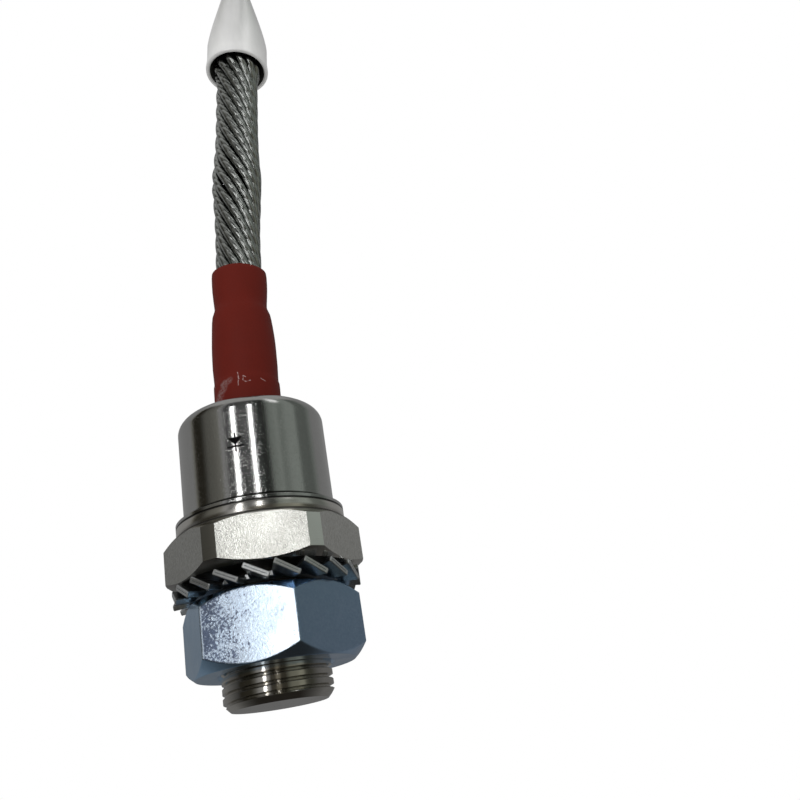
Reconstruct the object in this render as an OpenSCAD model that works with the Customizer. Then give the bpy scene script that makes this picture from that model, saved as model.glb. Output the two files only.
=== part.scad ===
// Stud-mounted rectifier diode with a stranded lead and a flattened-tube terminal lug.
// The origin is the centre of the base's seating face. +Z runs along the stud's axis and up the lead.
// Lengths are in millimetres and angles in degrees.

/* [Base] */
// Width of the base's hexagon across its flats
hex_af = 31.75; // [31.25:0.25:32.5]
// Diameter that the hexagon's corners are turned to
hex_turned_d = 35.2; // [34.6:0.1:36]
// Diameter of the flat seating face under the hexagon
seat_d = 31.2; // [29:0.2:31.2]
// Height of the low chamfer at the turned corners
low_chamfer_h = 1.25; // [0.8:0.05:1.8]
// Height of the turned corners between the two chamfers
corner_h = 5.8; // [4:0.1:8]
// Height of the top chamfer at the turned corners
top_chamfer_h = 1.6; // [1:0.1:2.2]
// Diameter of the round collar above the hexagon
collar_d = 30.5; // [30:0.1:31.2]
// Height of the round collar
collar_h = 1.9; // [1.6:0.1:3]
// Diameter of the raised pad that the junction stands on
pedestal_d = 18.4; // [17.8:0.1:19.4]
// Height of the raised pad above the collar
pedestal_h = 1; // [0.5:0.1:2]

/* [Stud] */
// Diameter of the stud over its thread crests
stud_d = 18.9; // [18:0.1:19.4]
// Length of the stud below the seating face
stud_len = 21.5; // [19:0.5:26]
// Chamfer at the stud's free end
stud_chamfer = 1.1; // [0.6:0.1:1.6]
// Length of the thread relief under the seating face
relief_len = 2; // [1:0.1:2.6]
// Depth of the thread relief
relief_depth = 1.1; // [0.6:0.1:1.6]

/* [Lock washer] */
// Number of twisted teeth
tooth_count = 20; // [18:1:21]
// Diameter over the teeth
washer_d = 33.2; // [31.6:0.2:34]
// Diameter of the washer's plain ring, where the teeth begin
washer_ring_d = 25; // [23.6:0.2:25.6]
// Thickness of the washer's sheet
washer_t = 1; // [0.7:0.1:1.2]
// Width of a tooth at its tip
tooth_tip_w = 4.8; // [3.8:0.1:4.9]
// Width of a tooth at its root
tooth_root_w = 3.2; // [2.4:0.1:3.3]
// Twist of a tooth out of the ring's plane
tooth_twist = 29; // [15:1:34]
// Turn of the washer about the stud
washer_turn = -5.75; // [-10:0.25:10]

/* [Nut] */
// Width of the nut across its flats
nut_af = 28; // [27:0.25:31]
// Height of the nut
nut_h = 12.4; // [9:0.1:14]
// Angle of the nut's end chamfers
nut_chamfer_angle = 41; // [30:1:48]
// Diameter of the nut's flat end faces
nut_face_d = 27.6; // [25:0.1:27.6]
// Turn of the nut about the stud
nut_turn = -15; // [-30:1:30]

/* [Can] */
// Outside diameter of the can
can_d = 27.4; // [26.8:0.1:28]
// Height of the can above the collar
can_h = 20.7; // [19:0.1:24]
// Wall of the can
can_wall = 0.8; // [0.5:0.05:0.9]
// Outside radius of the can's shoulder
can_shoulder_r = 2.6; // [1.2:0.1:3]
// Thickness of the can's welding brim
brim_t = 0.7; // [0.5:0.05:1]
// Radius where the can's wall runs out into the brim
brim_fillet_r = 0.6; // [0.2:0.05:0.9]

/* [Weld ring and spring cup] */
// Distance of the weld ring inside the collar's edge
weld_ring_inset = 0.6; // [0.4:0.05:0.8]
// Width of the weld ring's section
weld_ring_w = 1.9; // [1.2:0.1:2]
// Depth of the weld ring's groove in the collar
weld_ring_h = 1.2; // [0.8:0.1:1.5]
// Distance of the spring cup inside the can's wall
cup_inset = 0.9; // [0.7:0.05:1.2]
// Wall of the spring cup
cup_wall = 1.6; // [1.3:0.05:1.7]
// Height of the cup's lip above the retaining ring
cup_lip_h = 1.2; // [0.8:0.1:2]
// Depth of the groove that holds the retaining ring
cup_groove = 0.7; // [0.4:0.05:0.8]

/* [Junction] */
// Diameter of the lower plate
lower_plate_d = 17.2; // [16.8:0.1:17.6]
// Thickness of the lower plate
lower_plate_t = 1.4; // [0.8:0.1:2]
// Diameter of the silicon wafer
wafer_d = 16.4; // [15.6:0.1:16.4]
// Thickness of the silicon wafer
wafer_t = 0.4; // [0.3:0.05:0.6]
// Height of the rubber coat above the wafer
coat_h = 0.3; // [0.2:0.05:0.5]
// Overlap of the rubber coat onto the wafer's face
coat_overlap = 0.6; // [0.3:0.05:0.7]
// Diameter of the upper plate
upper_plate_d = 14.4; // [14:0.1:14.4]
// Thickness of the upper plate
upper_plate_t = 0.6; // [0.4:0.1:1]

/* [Contact and springs] */
// Thickness of the contact post's flange
post_flange_t = 1.5; // [1:0.1:2]
// Height of the contact post above its flange
post_stem_h = 9; // [8:0.1:10]
// Wall of the contact post round the inner lead
post_wall = 0.8; // [0.6:0.05:0.9]
// Thickness of the bottom of the post's socket, above the flange
post_floor_t = 2; // [1:0.1:3]
// Wall of the insulating guide sleeve
guide_wall = 0.6; // [0.4:0.05:0.65]
// Thickness of the insulating washer
insulator_t = 0.8; // [0.6:0.1:1.2]
// Thickness of the pressure washer
pressure_washer_t = 1.2; // [0.8:0.1:1.6]
// Outside diameter of the disc springs
spring_d = 19.8; // [19:0.1:20]
// Thickness of a disc spring
spring_t = 0.8; // [0.5:0.05:0.9]
// Height of a disc spring's cone
spring_cone_h = 0.4; // [0.2:0.05:0.5]
// Thickness of the retaining ring
retainer_t = 1.2; // [0.8:0.1:1.6]
// Bore of the retaining ring
retainer_bore = 17.2; // [15:0.1:18]

/* [Seal and terminal tube] */
// Diameter of the hole in the can's top
seal_hole_d = 16.4; // [15.4:0.1:17.4]
// Wall of the seal's steel eyelet
eyelet_wall = 0.8; // [0.5:0.05:1]
// Height of the seal's eyelet
eyelet_h = 3.2; // [2:0.1:4]
// Distance of the glass below the eyelet's rims
glass_recess = 0.3; // [0.1:0.05:0.6]
// Outside diameter of the terminal tube
tube_d = 10.7; // [10.5:0.1:11]
// Extra radius of the tube's foot, from its bottom to its web
tube_foot_step = 0.15; // [0.1:0.05:0.3]
// Length of the terminal tube inside the can
tube_inside = 4.7; // [4:0.1:5]
// Length of the terminal tube above the can
tube_outside = 22.3; // [16:0.1:26]
// Height of the tube's solid web above the can's top
web_z = 4; // [2:0.1:6]
// Thickness of the tube's solid web
web_t = 1; // [0.8:0.1:2]
// Diameter of the flexible lead inside the can
inner_lead_d = 8.3; // [7.6:0.1:8.3]
// Swelling of the inner lead's radius between its two joints
inner_lead_swell = 0.5; // [0:0.05:0.9]

/* [Lead] */
// Diameter of the lead over its strands
lead_d = 9.4; // [8.6:0.1:9.6]
// Number of strands in the lead's outer layer
strand_count = 12; // [10:1:13]
// Angle between the strands and the lead's axis
lay_angle = 24; // [15:1:28]
// Height of the lug's mouth above the seating face
mouth_z = 119.2; // [100:0.2:140]
// Lean of the terminal tube above its web
tube_lean = 1.5; // [0:0.1:2]
// Sideways lean of the lead at the lug's mouth
lead_lean = 5.5; // [0:0.1:8]
// Length of the bend above the terminal tube that the lean begins with
bend_len = 25; // [8:1:40]
// Swelling of the lead's radius where its strands stand loose
loose_swell = 0.7; // [0:0.05:0.9]
// Height of the loose place above the terminal tube's top
loose_above_tube = 33.5; // [25:0.5:40]
// Half length of the loose place
loose_half_len = 8; // [4:0.5:10]

/* [Red sleeve] */
// Wall of the sleeve
sleeve_wall = 0.75; // [0.5:0.05:1]
// Height of the sleeve's top above the terminal tube's top
sleeve_above_tube = 11; // [9:0.1:18]
// Height of the thicker band at the sleeve's foot
band_h = 7.2; // [4:0.1:10]
// Extra radius of the band at the sleeve's foot
band_step = 0.15; // [0.1:0.05:0.6]
// Swelling of the sleeve's radius above the band
sleeve_swell = 0.15; // [0:0.05:0.3]
// Depth of the neck above the terminal tube
neck_pinch = 0.25; // [0:0.05:0.3]

/* [Lug] */
// Outside diameter of the lug's barrel
barrel_d = 13.8; // [13:0.1:15]
// Diameter of the bell mouth's opening
mouth_d = 12.7; // [11.4:0.1:13]
// Wall of the bell mouth at its rim
mouth_wall = 0.8; // [0.6:0.05:1.2]
// Length of the bell mouth
bell_len = 2.5; // [1.5:0.1:4]
// Length of the round barrel, with its mouth
barrel_len = 7; // [6:0.1:12]
// Length over which the tube is flattened
flatten_len = 14.5; // [10:0.1:18]
// Depth of the lead in the barrel
lead_in_lug = 8; // [5:0.1:9]
// Length of the flat palm
palm_len = 16.5; // [15.5:0.1:22]
// Width of the flat palm
palm_w = 17.5; // [16.4:0.1:19]
// Thickness of the flat palm
palm_t = 3.8; // [2.8:0.1:4.6]
// Radius of the palm's end corners
palm_corner_r = 3.5; // [1:0.1:4]
// Diameter of the bolt hole in the palm
bolt_hole_d = 8.7; // [8.2:0.1:9]
// Distance of the bolt hole's centre from the palm's end
bolt_hole_from_end = 9; // [8:0.1:10]

/* [Hidden] */
$fn = 96;

// Clearances between pieces
thread_gap = 0.15;
washer_gap = 0.4;
bite_gap = 0.05;
inner_gap = 0.2;
ring_gap = 0.05;
lead_gap = 0.1;
soft_gap = 0.3;
strand_gap = 0.03;

// Facets of the swept pieces
strand_sides = 8;
sweep_sides = 24;
core_sides = 12;
ring_pitch = 2.2;
core_ring_pitch = 5;

// Levels, upwards from the seating face
corner_top = low_chamfer_h + corner_h;
hex_top = corner_top + top_chamfer_h;
collar_top = hex_top + collar_h;
pedestal_top = collar_top + pedestal_h;
lower_plate_top = pedestal_top + lower_plate_t;
wafer_top = lower_plate_top + wafer_t;
upper_plate_top = wafer_top + upper_plate_t;
post_flange_top = upper_plate_top + post_flange_t;
insulator_top = post_flange_top + insulator_t;
pressure_washer_top = insulator_top + pressure_washer_t;
spring_pitch = spring_t + spring_cone_h;
springs_top = pressure_washer_top + 3 * spring_pitch;
retainer_top = springs_top + retainer_t;
cup_top = retainer_top + cup_lip_h;
post_top = post_flange_top + post_stem_h;
can_top = collar_top + can_h;
tube_bottom = can_top - tube_inside;
tube_top = can_top + tube_outside;
web_bottom = can_top + web_z;
web_top = web_bottom + web_t;
tube_bend_z = web_bottom + web_t / 2;
lead_bottom = web_top + inner_gap;
lead_top = mouth_z + lead_in_lug;
loose_z = tube_top + loose_above_tube;
sleeve_bottom = can_top + soft_gap;
sleeve_top = tube_top + sleeve_above_tube;

// Levels, downwards from the seating face
washer_h = tooth_tip_w * sin(tooth_twist) + washer_t * cos(tooth_twist);
washer_mid = -bite_gap - washer_h / 2;
nut_top = -2 * bite_gap - washer_h;
nut_bottom = nut_top - nut_h;

// Radii that follow from the piece inside or outside
cup_r = can_d / 2 - can_wall - cup_inset;
cup_bore_r = cup_r - cup_wall;
guide_inner_r = inner_lead_d / 2 + post_wall + inner_gap;
guide_outer_r = guide_inner_r + guide_wall;
spring_inner_r = guide_outer_r + 2 * inner_gap;
lead_r = lead_d / 2;
tube_foot_r = tube_d / 2 + tube_foot_step;
tube_bore_r = lead_r + lead_gap;
barrel_bore_r = lead_r + 2 * lead_gap;

// The outer layer of strands fills the lead's outline
fill_share = sin(180 / strand_count) * cos(lay_angle);
strand_r = lead_r * fill_share / (1 + fill_share) - strand_gap;
layer_r = lead_r - strand_r;
core_r = layer_r - strand_r - 2 * strand_gap;
lay_len = 2 * PI * layer_r / tan(lay_angle);
strand_dip = strand_r * sin(lay_angle);
strand_bottom = lead_bottom + strand_dip;
strand_top = lead_top - strand_dip;

// The lead leans with the tube above its web, bends further above it and runs on to the lug
lean_len = mouth_z - tube_top;
tube_slope = tan(tube_lean);
bend_lean = lead_lean - tube_slope * (mouth_z - tube_bend_z);
lean_share = bend_lean / (sqrt(lean_len * lean_len + bend_len * bend_len) - bend_len);
end_slope = lead_slope(mouth_z);
end_tilt = atan(end_slope);

function lead_slope(z) =
    let (u = min(max(z - tube_top, 0), lean_len))
    (z < tube_bend_z ? 0 : tube_slope) + lean_share * u / sqrt(u * u + bend_len * bend_len);

function lead_x(z) =
    let (u = min(max(z - tube_top, 0), lean_len))
    tube_slope * max(min(z, mouth_z) - tube_bend_z, 0)
    + lean_share * (sqrt(u * u + bend_len * bend_len) - bend_len)
    + max(z - mouth_z, 0) * end_slope;

// A point of the lead's cross-section at height z, at radius r and angle a
function lead_point(z, r, a) =
    let (tilt = atan(lead_slope(z)))
    [lead_x(z) + r * cos(a) * cos(tilt), r * sin(a), z - r * cos(a) * sin(tilt)];

function looseness(z) = exp(-pow((z - loose_z) / loose_half_len, 2));

// A strand's turn about the lead: it falls as z grows, so the lay is left-handed
function strand_turn(z) = -360 * (z - lead_bottom) / lay_len;

function strand_point(z, phase) =
    lead_point(z, layer_r + loose_swell * looseness(z), phase + strand_turn(z));

function unit(v) = v / norm(v);

// A ring of points round centre c, across direction t, starting towards direction u
function ring_across(c, t, u, r, sides) =
    let (n = unit(u - (u * t) * t), b = cross(t, n))
    [for (i = [0:sides - 1]) c + r * (cos(360 * i / sides) * n + sin(360 * i / sides) * b)];

function strand_ring(z, phase) =
    let (
        step = 0.1,
        t = unit(strand_point(z + step, phase) - strand_point(z - step, phase)),
        c = strand_point(z, phase)
    )
    ring_across(c, t, c - [lead_x(z), 0, z], strand_r, strand_sides);

// A ring of points round the lead
function lead_ring(z, r, sides) =
    [for (i = [0:sides - 1]) lead_point(z, r, 360 * i / sides)];

// Evenly spaced levels from low to high, no further apart than pitch
function levels(low, high, pitch) =
    let (n = ceil((high - low) / pitch)) [for (i = [0:n]) low + (high - low) * i / n];

// A closed solid through rings of points, each with the same number of points
module skin(rings) {
    sides = len(rings[0]);
    last = len(rings) - 1;
    points = [for (ring = rings) for (p = ring) p];
    walls = [
        for (j = [0:last - 1]) for (i = [0:sides - 1])
            let (
                a = j * sides + i,
                b = j * sides + (i + 1) % sides,
                c = a + sides,
                d = b + sides
            )
            for (face = [[a, c, b], [b, c, d]]) face
    ];
    foot = [for (i = [0:sides - 1]) i];
    head = [for (i = [sides - 1:-1:0]) last * sides + i];
    polyhedron(points = points, faces = concat([foot, head], walls), convexity = 6);
}

// A plain ring between two radii, from level low, of height h
module ring(inner_r, outer_r, low, h) {
    rotate_extrude()
        translate([inner_r, low])
            square([outer_r - inner_r, h]);
}

module disc(r, low, h) {
    translate([0, 0, low])
        cylinder(r = r, h = h);
}

// A hexagon bar with two of its corners on the X axis
module hexagon_bar(af, low, high) {
    translate([0, 0, low])
        cylinder(r = af / 2 / cos(30), h = high - low, $fn = 6);
}

// Base and stud, turned from hexagonal bar as one piece
module base_stud() {
    weld_outer_r = collar_d / 2 - weld_ring_inset;
    weld_inner_r = weld_outer_r - weld_ring_w;
    color("silver")
        intersection() {
            hexagon_bar(hex_af, -stud_len, pedestal_top);
            rotate_extrude()
                polygon([
                    [0, -stud_len],
                    [stud_d / 2 - stud_chamfer, -stud_len],
                    [stud_d / 2, -stud_len + stud_chamfer],
                    [stud_d / 2, -relief_len - relief_depth],
                    [stud_d / 2 - relief_depth, -relief_len],
                    [stud_d / 2 - relief_depth, 0],
                    [seat_d / 2, 0],
                    [hex_turned_d / 2, low_chamfer_h],
                    [hex_turned_d / 2, corner_top],
                    [collar_d / 2, hex_top],
                    [collar_d / 2, collar_top],
                    [weld_outer_r, collar_top],
                    [weld_outer_r, collar_top - weld_ring_h],
                    [weld_inner_r, collar_top - weld_ring_h],
                    [weld_inner_r, collar_top],
                    [pedestal_d / 2, collar_top],
                    [pedestal_d / 2, pedestal_top],
                    [0, pedestal_top]
                ]);
        }
}

// Steel ring brazed into the collar's groove, which the can's brim is welded to
module weld_ring() {
    outer_r = collar_d / 2 - weld_ring_inset;
    color("gray")
        ring(outer_r - weld_ring_w, outer_r, collar_top - weld_ring_h, weld_ring_h);
}

// Drawn can with a welding brim below and a hole for the seal in its top
module can() {
    outer_r = can_d / 2;
    inner_r = outer_r - can_wall;
    inner_shoulder_r = max(can_shoulder_r - can_wall, 0.2);
    color("lightgray")
        rotate_extrude()
            difference() {
                union() {
                    translate([0, collar_top])
                        square([collar_d / 2, brim_t]);
                    translate([0, collar_top])
                        square([outer_r, can_h - can_shoulder_r]);
                    translate([0, collar_top])
                        square([outer_r - can_shoulder_r, can_h]);
                    translate([outer_r - can_shoulder_r, can_top - can_shoulder_r])
                        circle(r = can_shoulder_r);
                    difference() {
                        translate([outer_r, collar_top + brim_t])
                            square([brim_fillet_r, brim_fillet_r]);
                        translate([outer_r + brim_fillet_r, collar_top + brim_t + brim_fillet_r])
                            circle(r = brim_fillet_r);
                    }
                }
                translate([-1, collar_top - 1])
                    square([inner_r + 1, can_h + 1 - can_wall - inner_shoulder_r]);
                translate([-1, collar_top - 1])
                    square([inner_r + 1 - inner_shoulder_r, can_h + 1 - can_wall]);
                translate([inner_r - inner_shoulder_r, can_top - can_wall - inner_shoulder_r])
                    circle(r = inner_shoulder_r);
                translate([-1, collar_top])
                    square([seal_hole_d / 2 + 1, can_h + 1]);
            }
}

// Steel cup brazed round the pedestal, grooved inside for the retaining ring
module spring_cup() {
    color("dimgray")
        rotate_extrude()
            polygon([
                [cup_bore_r, collar_top],
                [cup_r, collar_top],
                [cup_r, cup_top],
                [cup_bore_r, cup_top],
                [cup_bore_r, retainer_top],
                [cup_bore_r + cup_groove, retainer_top],
                [cup_bore_r + cup_groove, springs_top],
                [cup_bore_r, springs_top]
            ]);
}

module lower_plate() {
    color("slategray")
        disc(lower_plate_d / 2, pedestal_top, lower_plate_t);
}

module silicon_wafer() {
    color("darkslategray")
        disc(wafer_d / 2, lower_plate_top, wafer_t);
}

// Silicone rubber round the wafer's edge
module edge_coat() {
    color("white")
        rotate_extrude()
            polygon([
                [wafer_d / 2, lower_plate_top],
                [lower_plate_d / 2, lower_plate_top],
                [lower_plate_d / 2, wafer_top],
                [wafer_d / 2, wafer_top + coat_h],
                [wafer_d / 2 - coat_overlap, wafer_top + coat_h],
                [wafer_d / 2 - coat_overlap, wafer_top],
                [wafer_d / 2, wafer_top]
            ]);
}

module upper_plate() {
    color("slategray")
        disc(upper_plate_d / 2, wafer_top, upper_plate_t);
}

// Copper post that presses on the junction and takes the inner lead in its socket
module contact_post() {
    stem_r = inner_lead_d / 2 + post_wall;
    color("peru")
        rotate_extrude()
            polygon([
                [0, upper_plate_top],
                [upper_plate_d / 2, upper_plate_top],
                [upper_plate_d / 2, post_flange_top],
                [stem_r, post_flange_top],
                [stem_r, post_top],
                [inner_lead_d / 2, post_top],
                [inner_lead_d / 2, post_flange_top + post_floor_t],
                [0, post_flange_top + post_floor_t]
            ]);
}

module insulating_washer() {
    color("ivory")
        ring(guide_outer_r + inner_gap, upper_plate_d / 2 + inner_gap, post_flange_top, insulator_t);
}

// Insulating sleeve that centres the springs on the post
module guide_sleeve() {
    color("ivory")
        ring(guide_inner_r, guide_outer_r, post_flange_top, retainer_top - post_flange_top);
}

module pressure_washer() {
    color("dimgray")
        ring(guide_outer_r + inner_gap, spring_d / 2, insulator_top, pressure_washer_t);
}

// One disc spring of the stack: inner_rise and outer_rise are its edges' heights above its foot
module disc_spring(index, inner_rise, outer_rise) {
    low = pressure_washer_top + index * spring_pitch;
    color("gray")
        rotate_extrude()
            polygon([
                [spring_inner_r, low + inner_rise],
                [spring_d / 2, low + outer_rise],
                [spring_d / 2, low + outer_rise + spring_t],
                [spring_inner_r, low + inner_rise + spring_t]
            ]);
}

module disc_spring_low() {
    disc_spring(0, 0, spring_cone_h);
}

module disc_spring_mid() {
    disc_spring(1, spring_cone_h, 0);
}

module disc_spring_top() {
    disc_spring(2, 0, spring_cone_h);
}

module retaining_ring() {
    color("dimgray")
        ring(retainer_bore / 2, cup_bore_r + cup_groove - ring_gap, springs_top, retainer_t);
}

// Flexible lead from the contact post's socket to the terminal tube
module inner_lead() {
    r = inner_lead_d / 2;
    color("peru")
        rotate_extrude()
            polygon([
                [0, post_flange_top + post_floor_t],
                [r, post_flange_top + post_floor_t],
                [r, post_top],
                [r + inner_lead_swell, (post_top + tube_bottom) / 2],
                [r, tube_bottom],
                [r, web_bottom],
                [0, web_bottom]
            ]);
}

module seal_eyelet() {
    outer_r = seal_hole_d / 2;
    color("gray")
        ring(outer_r - eyelet_wall, outer_r, can_top - eyelet_h, eyelet_h);
}

module seal_glass() {
    color("cadetblue")
        ring(
            tube_foot_r,
            seal_hole_d / 2 - eyelet_wall,
            can_top - eyelet_h + glass_recess,
            eyelet_h - 2 * glass_recess
        );
}

// Tube through the seal, with a solid web between its two sockets and a slight bend at the web
module terminal_tube() {
    upper_len = (tube_top - tube_bend_z) / cos(tube_lean);
    overlap = web_t / 5;
    color("silver")
        union() {
            rotate_extrude()
                polygon([
                    [inner_lead_d / 2, tube_bottom],
                    [tube_foot_r, tube_bottom],
                    [tube_foot_r, tube_bend_z],
                    [0, tube_bend_z],
                    [0, web_bottom],
                    [inner_lead_d / 2, web_bottom]
                ]);
            translate([0, 0, tube_bend_z])
                rotate([0, tube_lean, 0])
                    rotate_extrude()
                        polygon([
                            [0, -overlap],
                            [tube_d / 2, -overlap],
                            [tube_d / 2, upper_len],
                            [tube_bore_r, upper_len],
                            [tube_bore_r, web_t / 2],
                            [0, web_t / 2]
                        ]);
        }
}

// Inner strands of the lead, closed up as one round core
module lead_core() {
    color("dimgray")
        skin([for (z = levels(lead_bottom, lead_top, core_ring_pitch)) lead_ring(z, core_r, core_sides)]);
}

// Outer layer of the lead's strands, wound round the core with a left-handed lay
module lead_strands() {
    color("darkgray")
        for (i = [0:strand_count - 1])
            skin([
                for (z = levels(strand_bottom, strand_top, ring_pitch))
                    strand_ring(z, 360 * i / strand_count)
            ]);
}

// Shrunk sleeve over the terminal tube and the foot of the lead
module red_sleeve() {
    flat_share = cos(180 / sweep_sides);
    foot_bore_r = tube_foot_r / flat_share + ring_gap;
    low_bore_r = tube_d / 2 / flat_share + ring_gap;
    high_bore_r = lead_r / flat_share + ring_gap;
    low_r = low_bore_r + sleeve_wall;
    high_r = high_bore_r + sleeve_wall;
    foot_top = sleeve_bottom + band_h;
    neck_z = tube_top + 2.3;
    outline = [
        [sleeve_bottom, low_r + band_step - 0.2],
        [sleeve_bottom + 0.5, low_r + band_step],
        [foot_top - 0.3, low_r + band_step],
        [foot_top, low_r],
        [foot_top + 3, low_r + sleeve_swell],
        [tube_top - 7, low_r + sleeve_swell],
        [tube_top - 2.5, low_r - 0.05],
        [tube_top, low_r - 0.3],
        [neck_z, high_r - neck_pinch],
        [neck_z + 2.4, high_r - 0.07],
        [neck_z + 5, high_r + 0.08],
        [sleeve_top - 0.8, high_r + 0.06],
        [sleeve_top, high_r - sleeve_wall * 0.6]
    ];
    bore = [
        [sleeve_bottom - 1, foot_bore_r],
        [tube_bend_z - 0.3, foot_bore_r],
        [tube_bend_z + 0.3, foot_bore_r],
        [tube_bend_z + 0.9, low_bore_r],
        [tube_top + 0.2, low_bore_r],
        [neck_z - 0.4, high_bore_r],
        [neck_z + 3, high_bore_r],
        [sleeve_top - 4, high_bore_r],
        [sleeve_top + 1, high_bore_r]
    ];
    color("firebrick")
        difference() {
            skin([for (p = outline) lead_ring(p[0], p[1], sweep_sides)]);
            skin([for (p = bore) lead_ring(p[0], p[1], sweep_sides)]);
        }
}

// Lug made of a tube: bell mouth, round barrel, flattened stretch and flat palm with a bolt hole
module lug() {
    flat_z = barrel_len + flatten_len;
    end_z = flat_z + palm_len;
    color("silver")
        translate([lead_x(mouth_z), 0, mouth_z])
            rotate([0, end_tilt, 0])
                difference() {
                    union() {
                        rotate_extrude()
                            polygon([
                                [0, 0],
                                [mouth_d / 2 + mouth_wall, 0],
                                [barrel_d / 2, bell_len],
                                [barrel_d / 2, barrel_len],
                                [0, barrel_len]
                            ]);
                        hull() {
                            translate([0, 0, barrel_len - 0.5])
                                cylinder(r = barrel_d / 2 - 0.05, h = 0.5, $fn = 32);
                            translate([-palm_t / 2, -palm_w / 2, flat_z])
                                cube([palm_t, palm_w, 0.5]);
                        }
                        translate([-palm_t / 2, 0, 0])
                            rotate([90, 0, 90])
                                linear_extrude(palm_t)
                                    palm_outline(flat_z, end_z);
                    }
                    rotate_extrude()
                        polygon([
                            [0, -1],
                            [mouth_d / 2, -1],
                            [mouth_d / 2, 0],
                            [barrel_bore_r, bell_len],
                            [barrel_bore_r, lead_in_lug + 1],
                            [0, lead_in_lug + 1]
                        ]);
                    translate([0, 0, end_z - bolt_hole_from_end])
                        rotate([0, 90, 0])
                            cylinder(d = bolt_hole_d, h = palm_t + 2, center = true);
                }
}

// Outline of the palm, with rounded end corners
module palm_outline(low, high) {
    side = palm_w / 2 - palm_corner_r;
    translate([-palm_w / 2, low])
        square([palm_w, high - low - palm_corner_r]);
    translate([-side, low])
        square([2 * side, high - low]);
    for (s = [-1, 1])
        translate([s * side, high - palm_corner_r])
            circle(r = palm_corner_r);
}

// Lock washer with twisted outer teeth
module lock_washer() {
    color("darkslategray")
        translate([0, 0, washer_mid])
            union() {
                ring(stud_d / 2 + washer_gap, washer_ring_d / 2, -washer_t / 2, washer_t);
                for (i = [0:tooth_count - 1])
                    rotate([0, 0, washer_turn + 360 * i / tooth_count])
                        washer_tooth();
            }
}

// One tooth along +X: flat where it leaves the ring, twisted at its tip
module washer_tooth() {
    tip_x = sqrt(pow(washer_d / 2, 2) - pow(tooth_tip_w / 2 * cos(tooth_twist), 2));
    root_x = washer_ring_d / 2 - 0.6;
    bend_x = washer_ring_d / 2 + 0.6;
    skin([
        tooth_section(root_x, tooth_root_w, washer_t - 0.1, 0),
        tooth_section(bend_x, (tooth_root_w + tooth_tip_w) / 2 - 0.3, washer_t - 0.05, tooth_twist * 0.85),
        tooth_section(tip_x, tooth_tip_w, washer_t, tooth_twist)
    ]);
}

// Section of a tooth across X: width w, thickness t, turned by a about X
function tooth_section(x, w, t, a) =
    [for (c = [[-1, -1], [1, -1], [1, 1], [-1, 1]])
        let (u = c[0] * w / 2, v = c[1] * t / 2)
        [x, u * cos(a) + v * sin(a), -u * sin(a) + v * cos(a)]];

// Hexagon nut, chamfered at both ends, run up against the lock washer
module nut() {
    bore_r = stud_d / 2 + thread_gap;
    outer_r = nut_af / 2 / cos(30) + 0.3;
    chamfer_h = (outer_r - nut_face_d / 2) * tan(nut_chamfer_angle);
    lead_in = 0.6;
    color("lightsteelblue")
        intersection() {
            rotate([0, 0, nut_turn])
                hexagon_bar(nut_af, nut_bottom, nut_top);
            rotate_extrude()
                polygon([
                    [bore_r + lead_in, nut_bottom],
                    [nut_face_d / 2, nut_bottom],
                    [outer_r, nut_bottom + chamfer_h],
                    [outer_r, nut_top - chamfer_h],
                    [nut_face_d / 2, nut_top],
                    [bore_r + lead_in, nut_top],
                    [bore_r, nut_top - lead_in],
                    [bore_r, nut_bottom + lead_in]
                ]);
        }
}

base_stud();
weld_ring();
can();
spring_cup();
lower_plate();
silicon_wafer();
edge_coat();
upper_plate();
contact_post();
insulating_washer();
guide_sleeve();
pressure_washer();
disc_spring_low();
disc_spring_mid();
disc_spring_top();
retaining_ring();
inner_lead();
seal_eyelet();
seal_glass();
terminal_tube();
lead_core();
lead_strands();
red_sleeve();
lug();
lock_washer();
nut();
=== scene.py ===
import math
import random

import bmesh
import bpy
from mathutils import Matrix, Vector


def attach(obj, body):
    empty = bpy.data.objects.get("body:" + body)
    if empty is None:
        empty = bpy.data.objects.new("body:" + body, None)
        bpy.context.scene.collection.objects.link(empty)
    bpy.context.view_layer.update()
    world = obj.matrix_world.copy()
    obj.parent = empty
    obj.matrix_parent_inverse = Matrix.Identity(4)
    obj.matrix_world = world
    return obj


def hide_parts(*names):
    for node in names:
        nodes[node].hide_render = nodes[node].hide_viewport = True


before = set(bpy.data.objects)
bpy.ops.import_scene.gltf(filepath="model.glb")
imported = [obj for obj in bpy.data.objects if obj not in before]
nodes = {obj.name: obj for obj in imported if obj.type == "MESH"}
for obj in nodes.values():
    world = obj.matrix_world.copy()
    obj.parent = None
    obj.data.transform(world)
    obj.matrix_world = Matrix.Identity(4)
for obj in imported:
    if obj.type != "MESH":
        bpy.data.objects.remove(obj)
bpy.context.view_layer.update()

scene = bpy.context.scene
mm = 0.001


def addObject(name, data):
    holder = bpy.data.objects.new(name, data)
    scene.collection.objects.link(holder)
    return holder


# The camera stands a little below the stud's end and looks up along the diode
camera = {"place": (0.0, -0.15623, -0.03453), "turn": (113.0916, 9.4868, -6.7576), "lens": 38.865,
          "sensor": 36.0, "clip": (0.005, 20)}


def addCamera(settings):
    data = bpy.data.cameras.new("camera")
    data.lens = settings["lens"]
    data.sensor_width = settings["sensor"]
    data.clip_start, data.clip_end = settings["clip"]
    holder = addObject("camera", data)
    holder.location = settings["place"]
    holder.rotation_euler = [math.radians(angle) for angle in settings["turn"]]
    scene.camera = holder


addCamera(camera)
scene.view_settings.view_transform = "Standard"
print("camera placed")


# Small helpers for node trees: each finds its tree by the first socket that it is given

def isSocket(value):
    return isinstance(value, bpy.types.NodeSocket)


def treeOf(*values):
    return next(value for value in values if isSocket(value)).id_data


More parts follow.
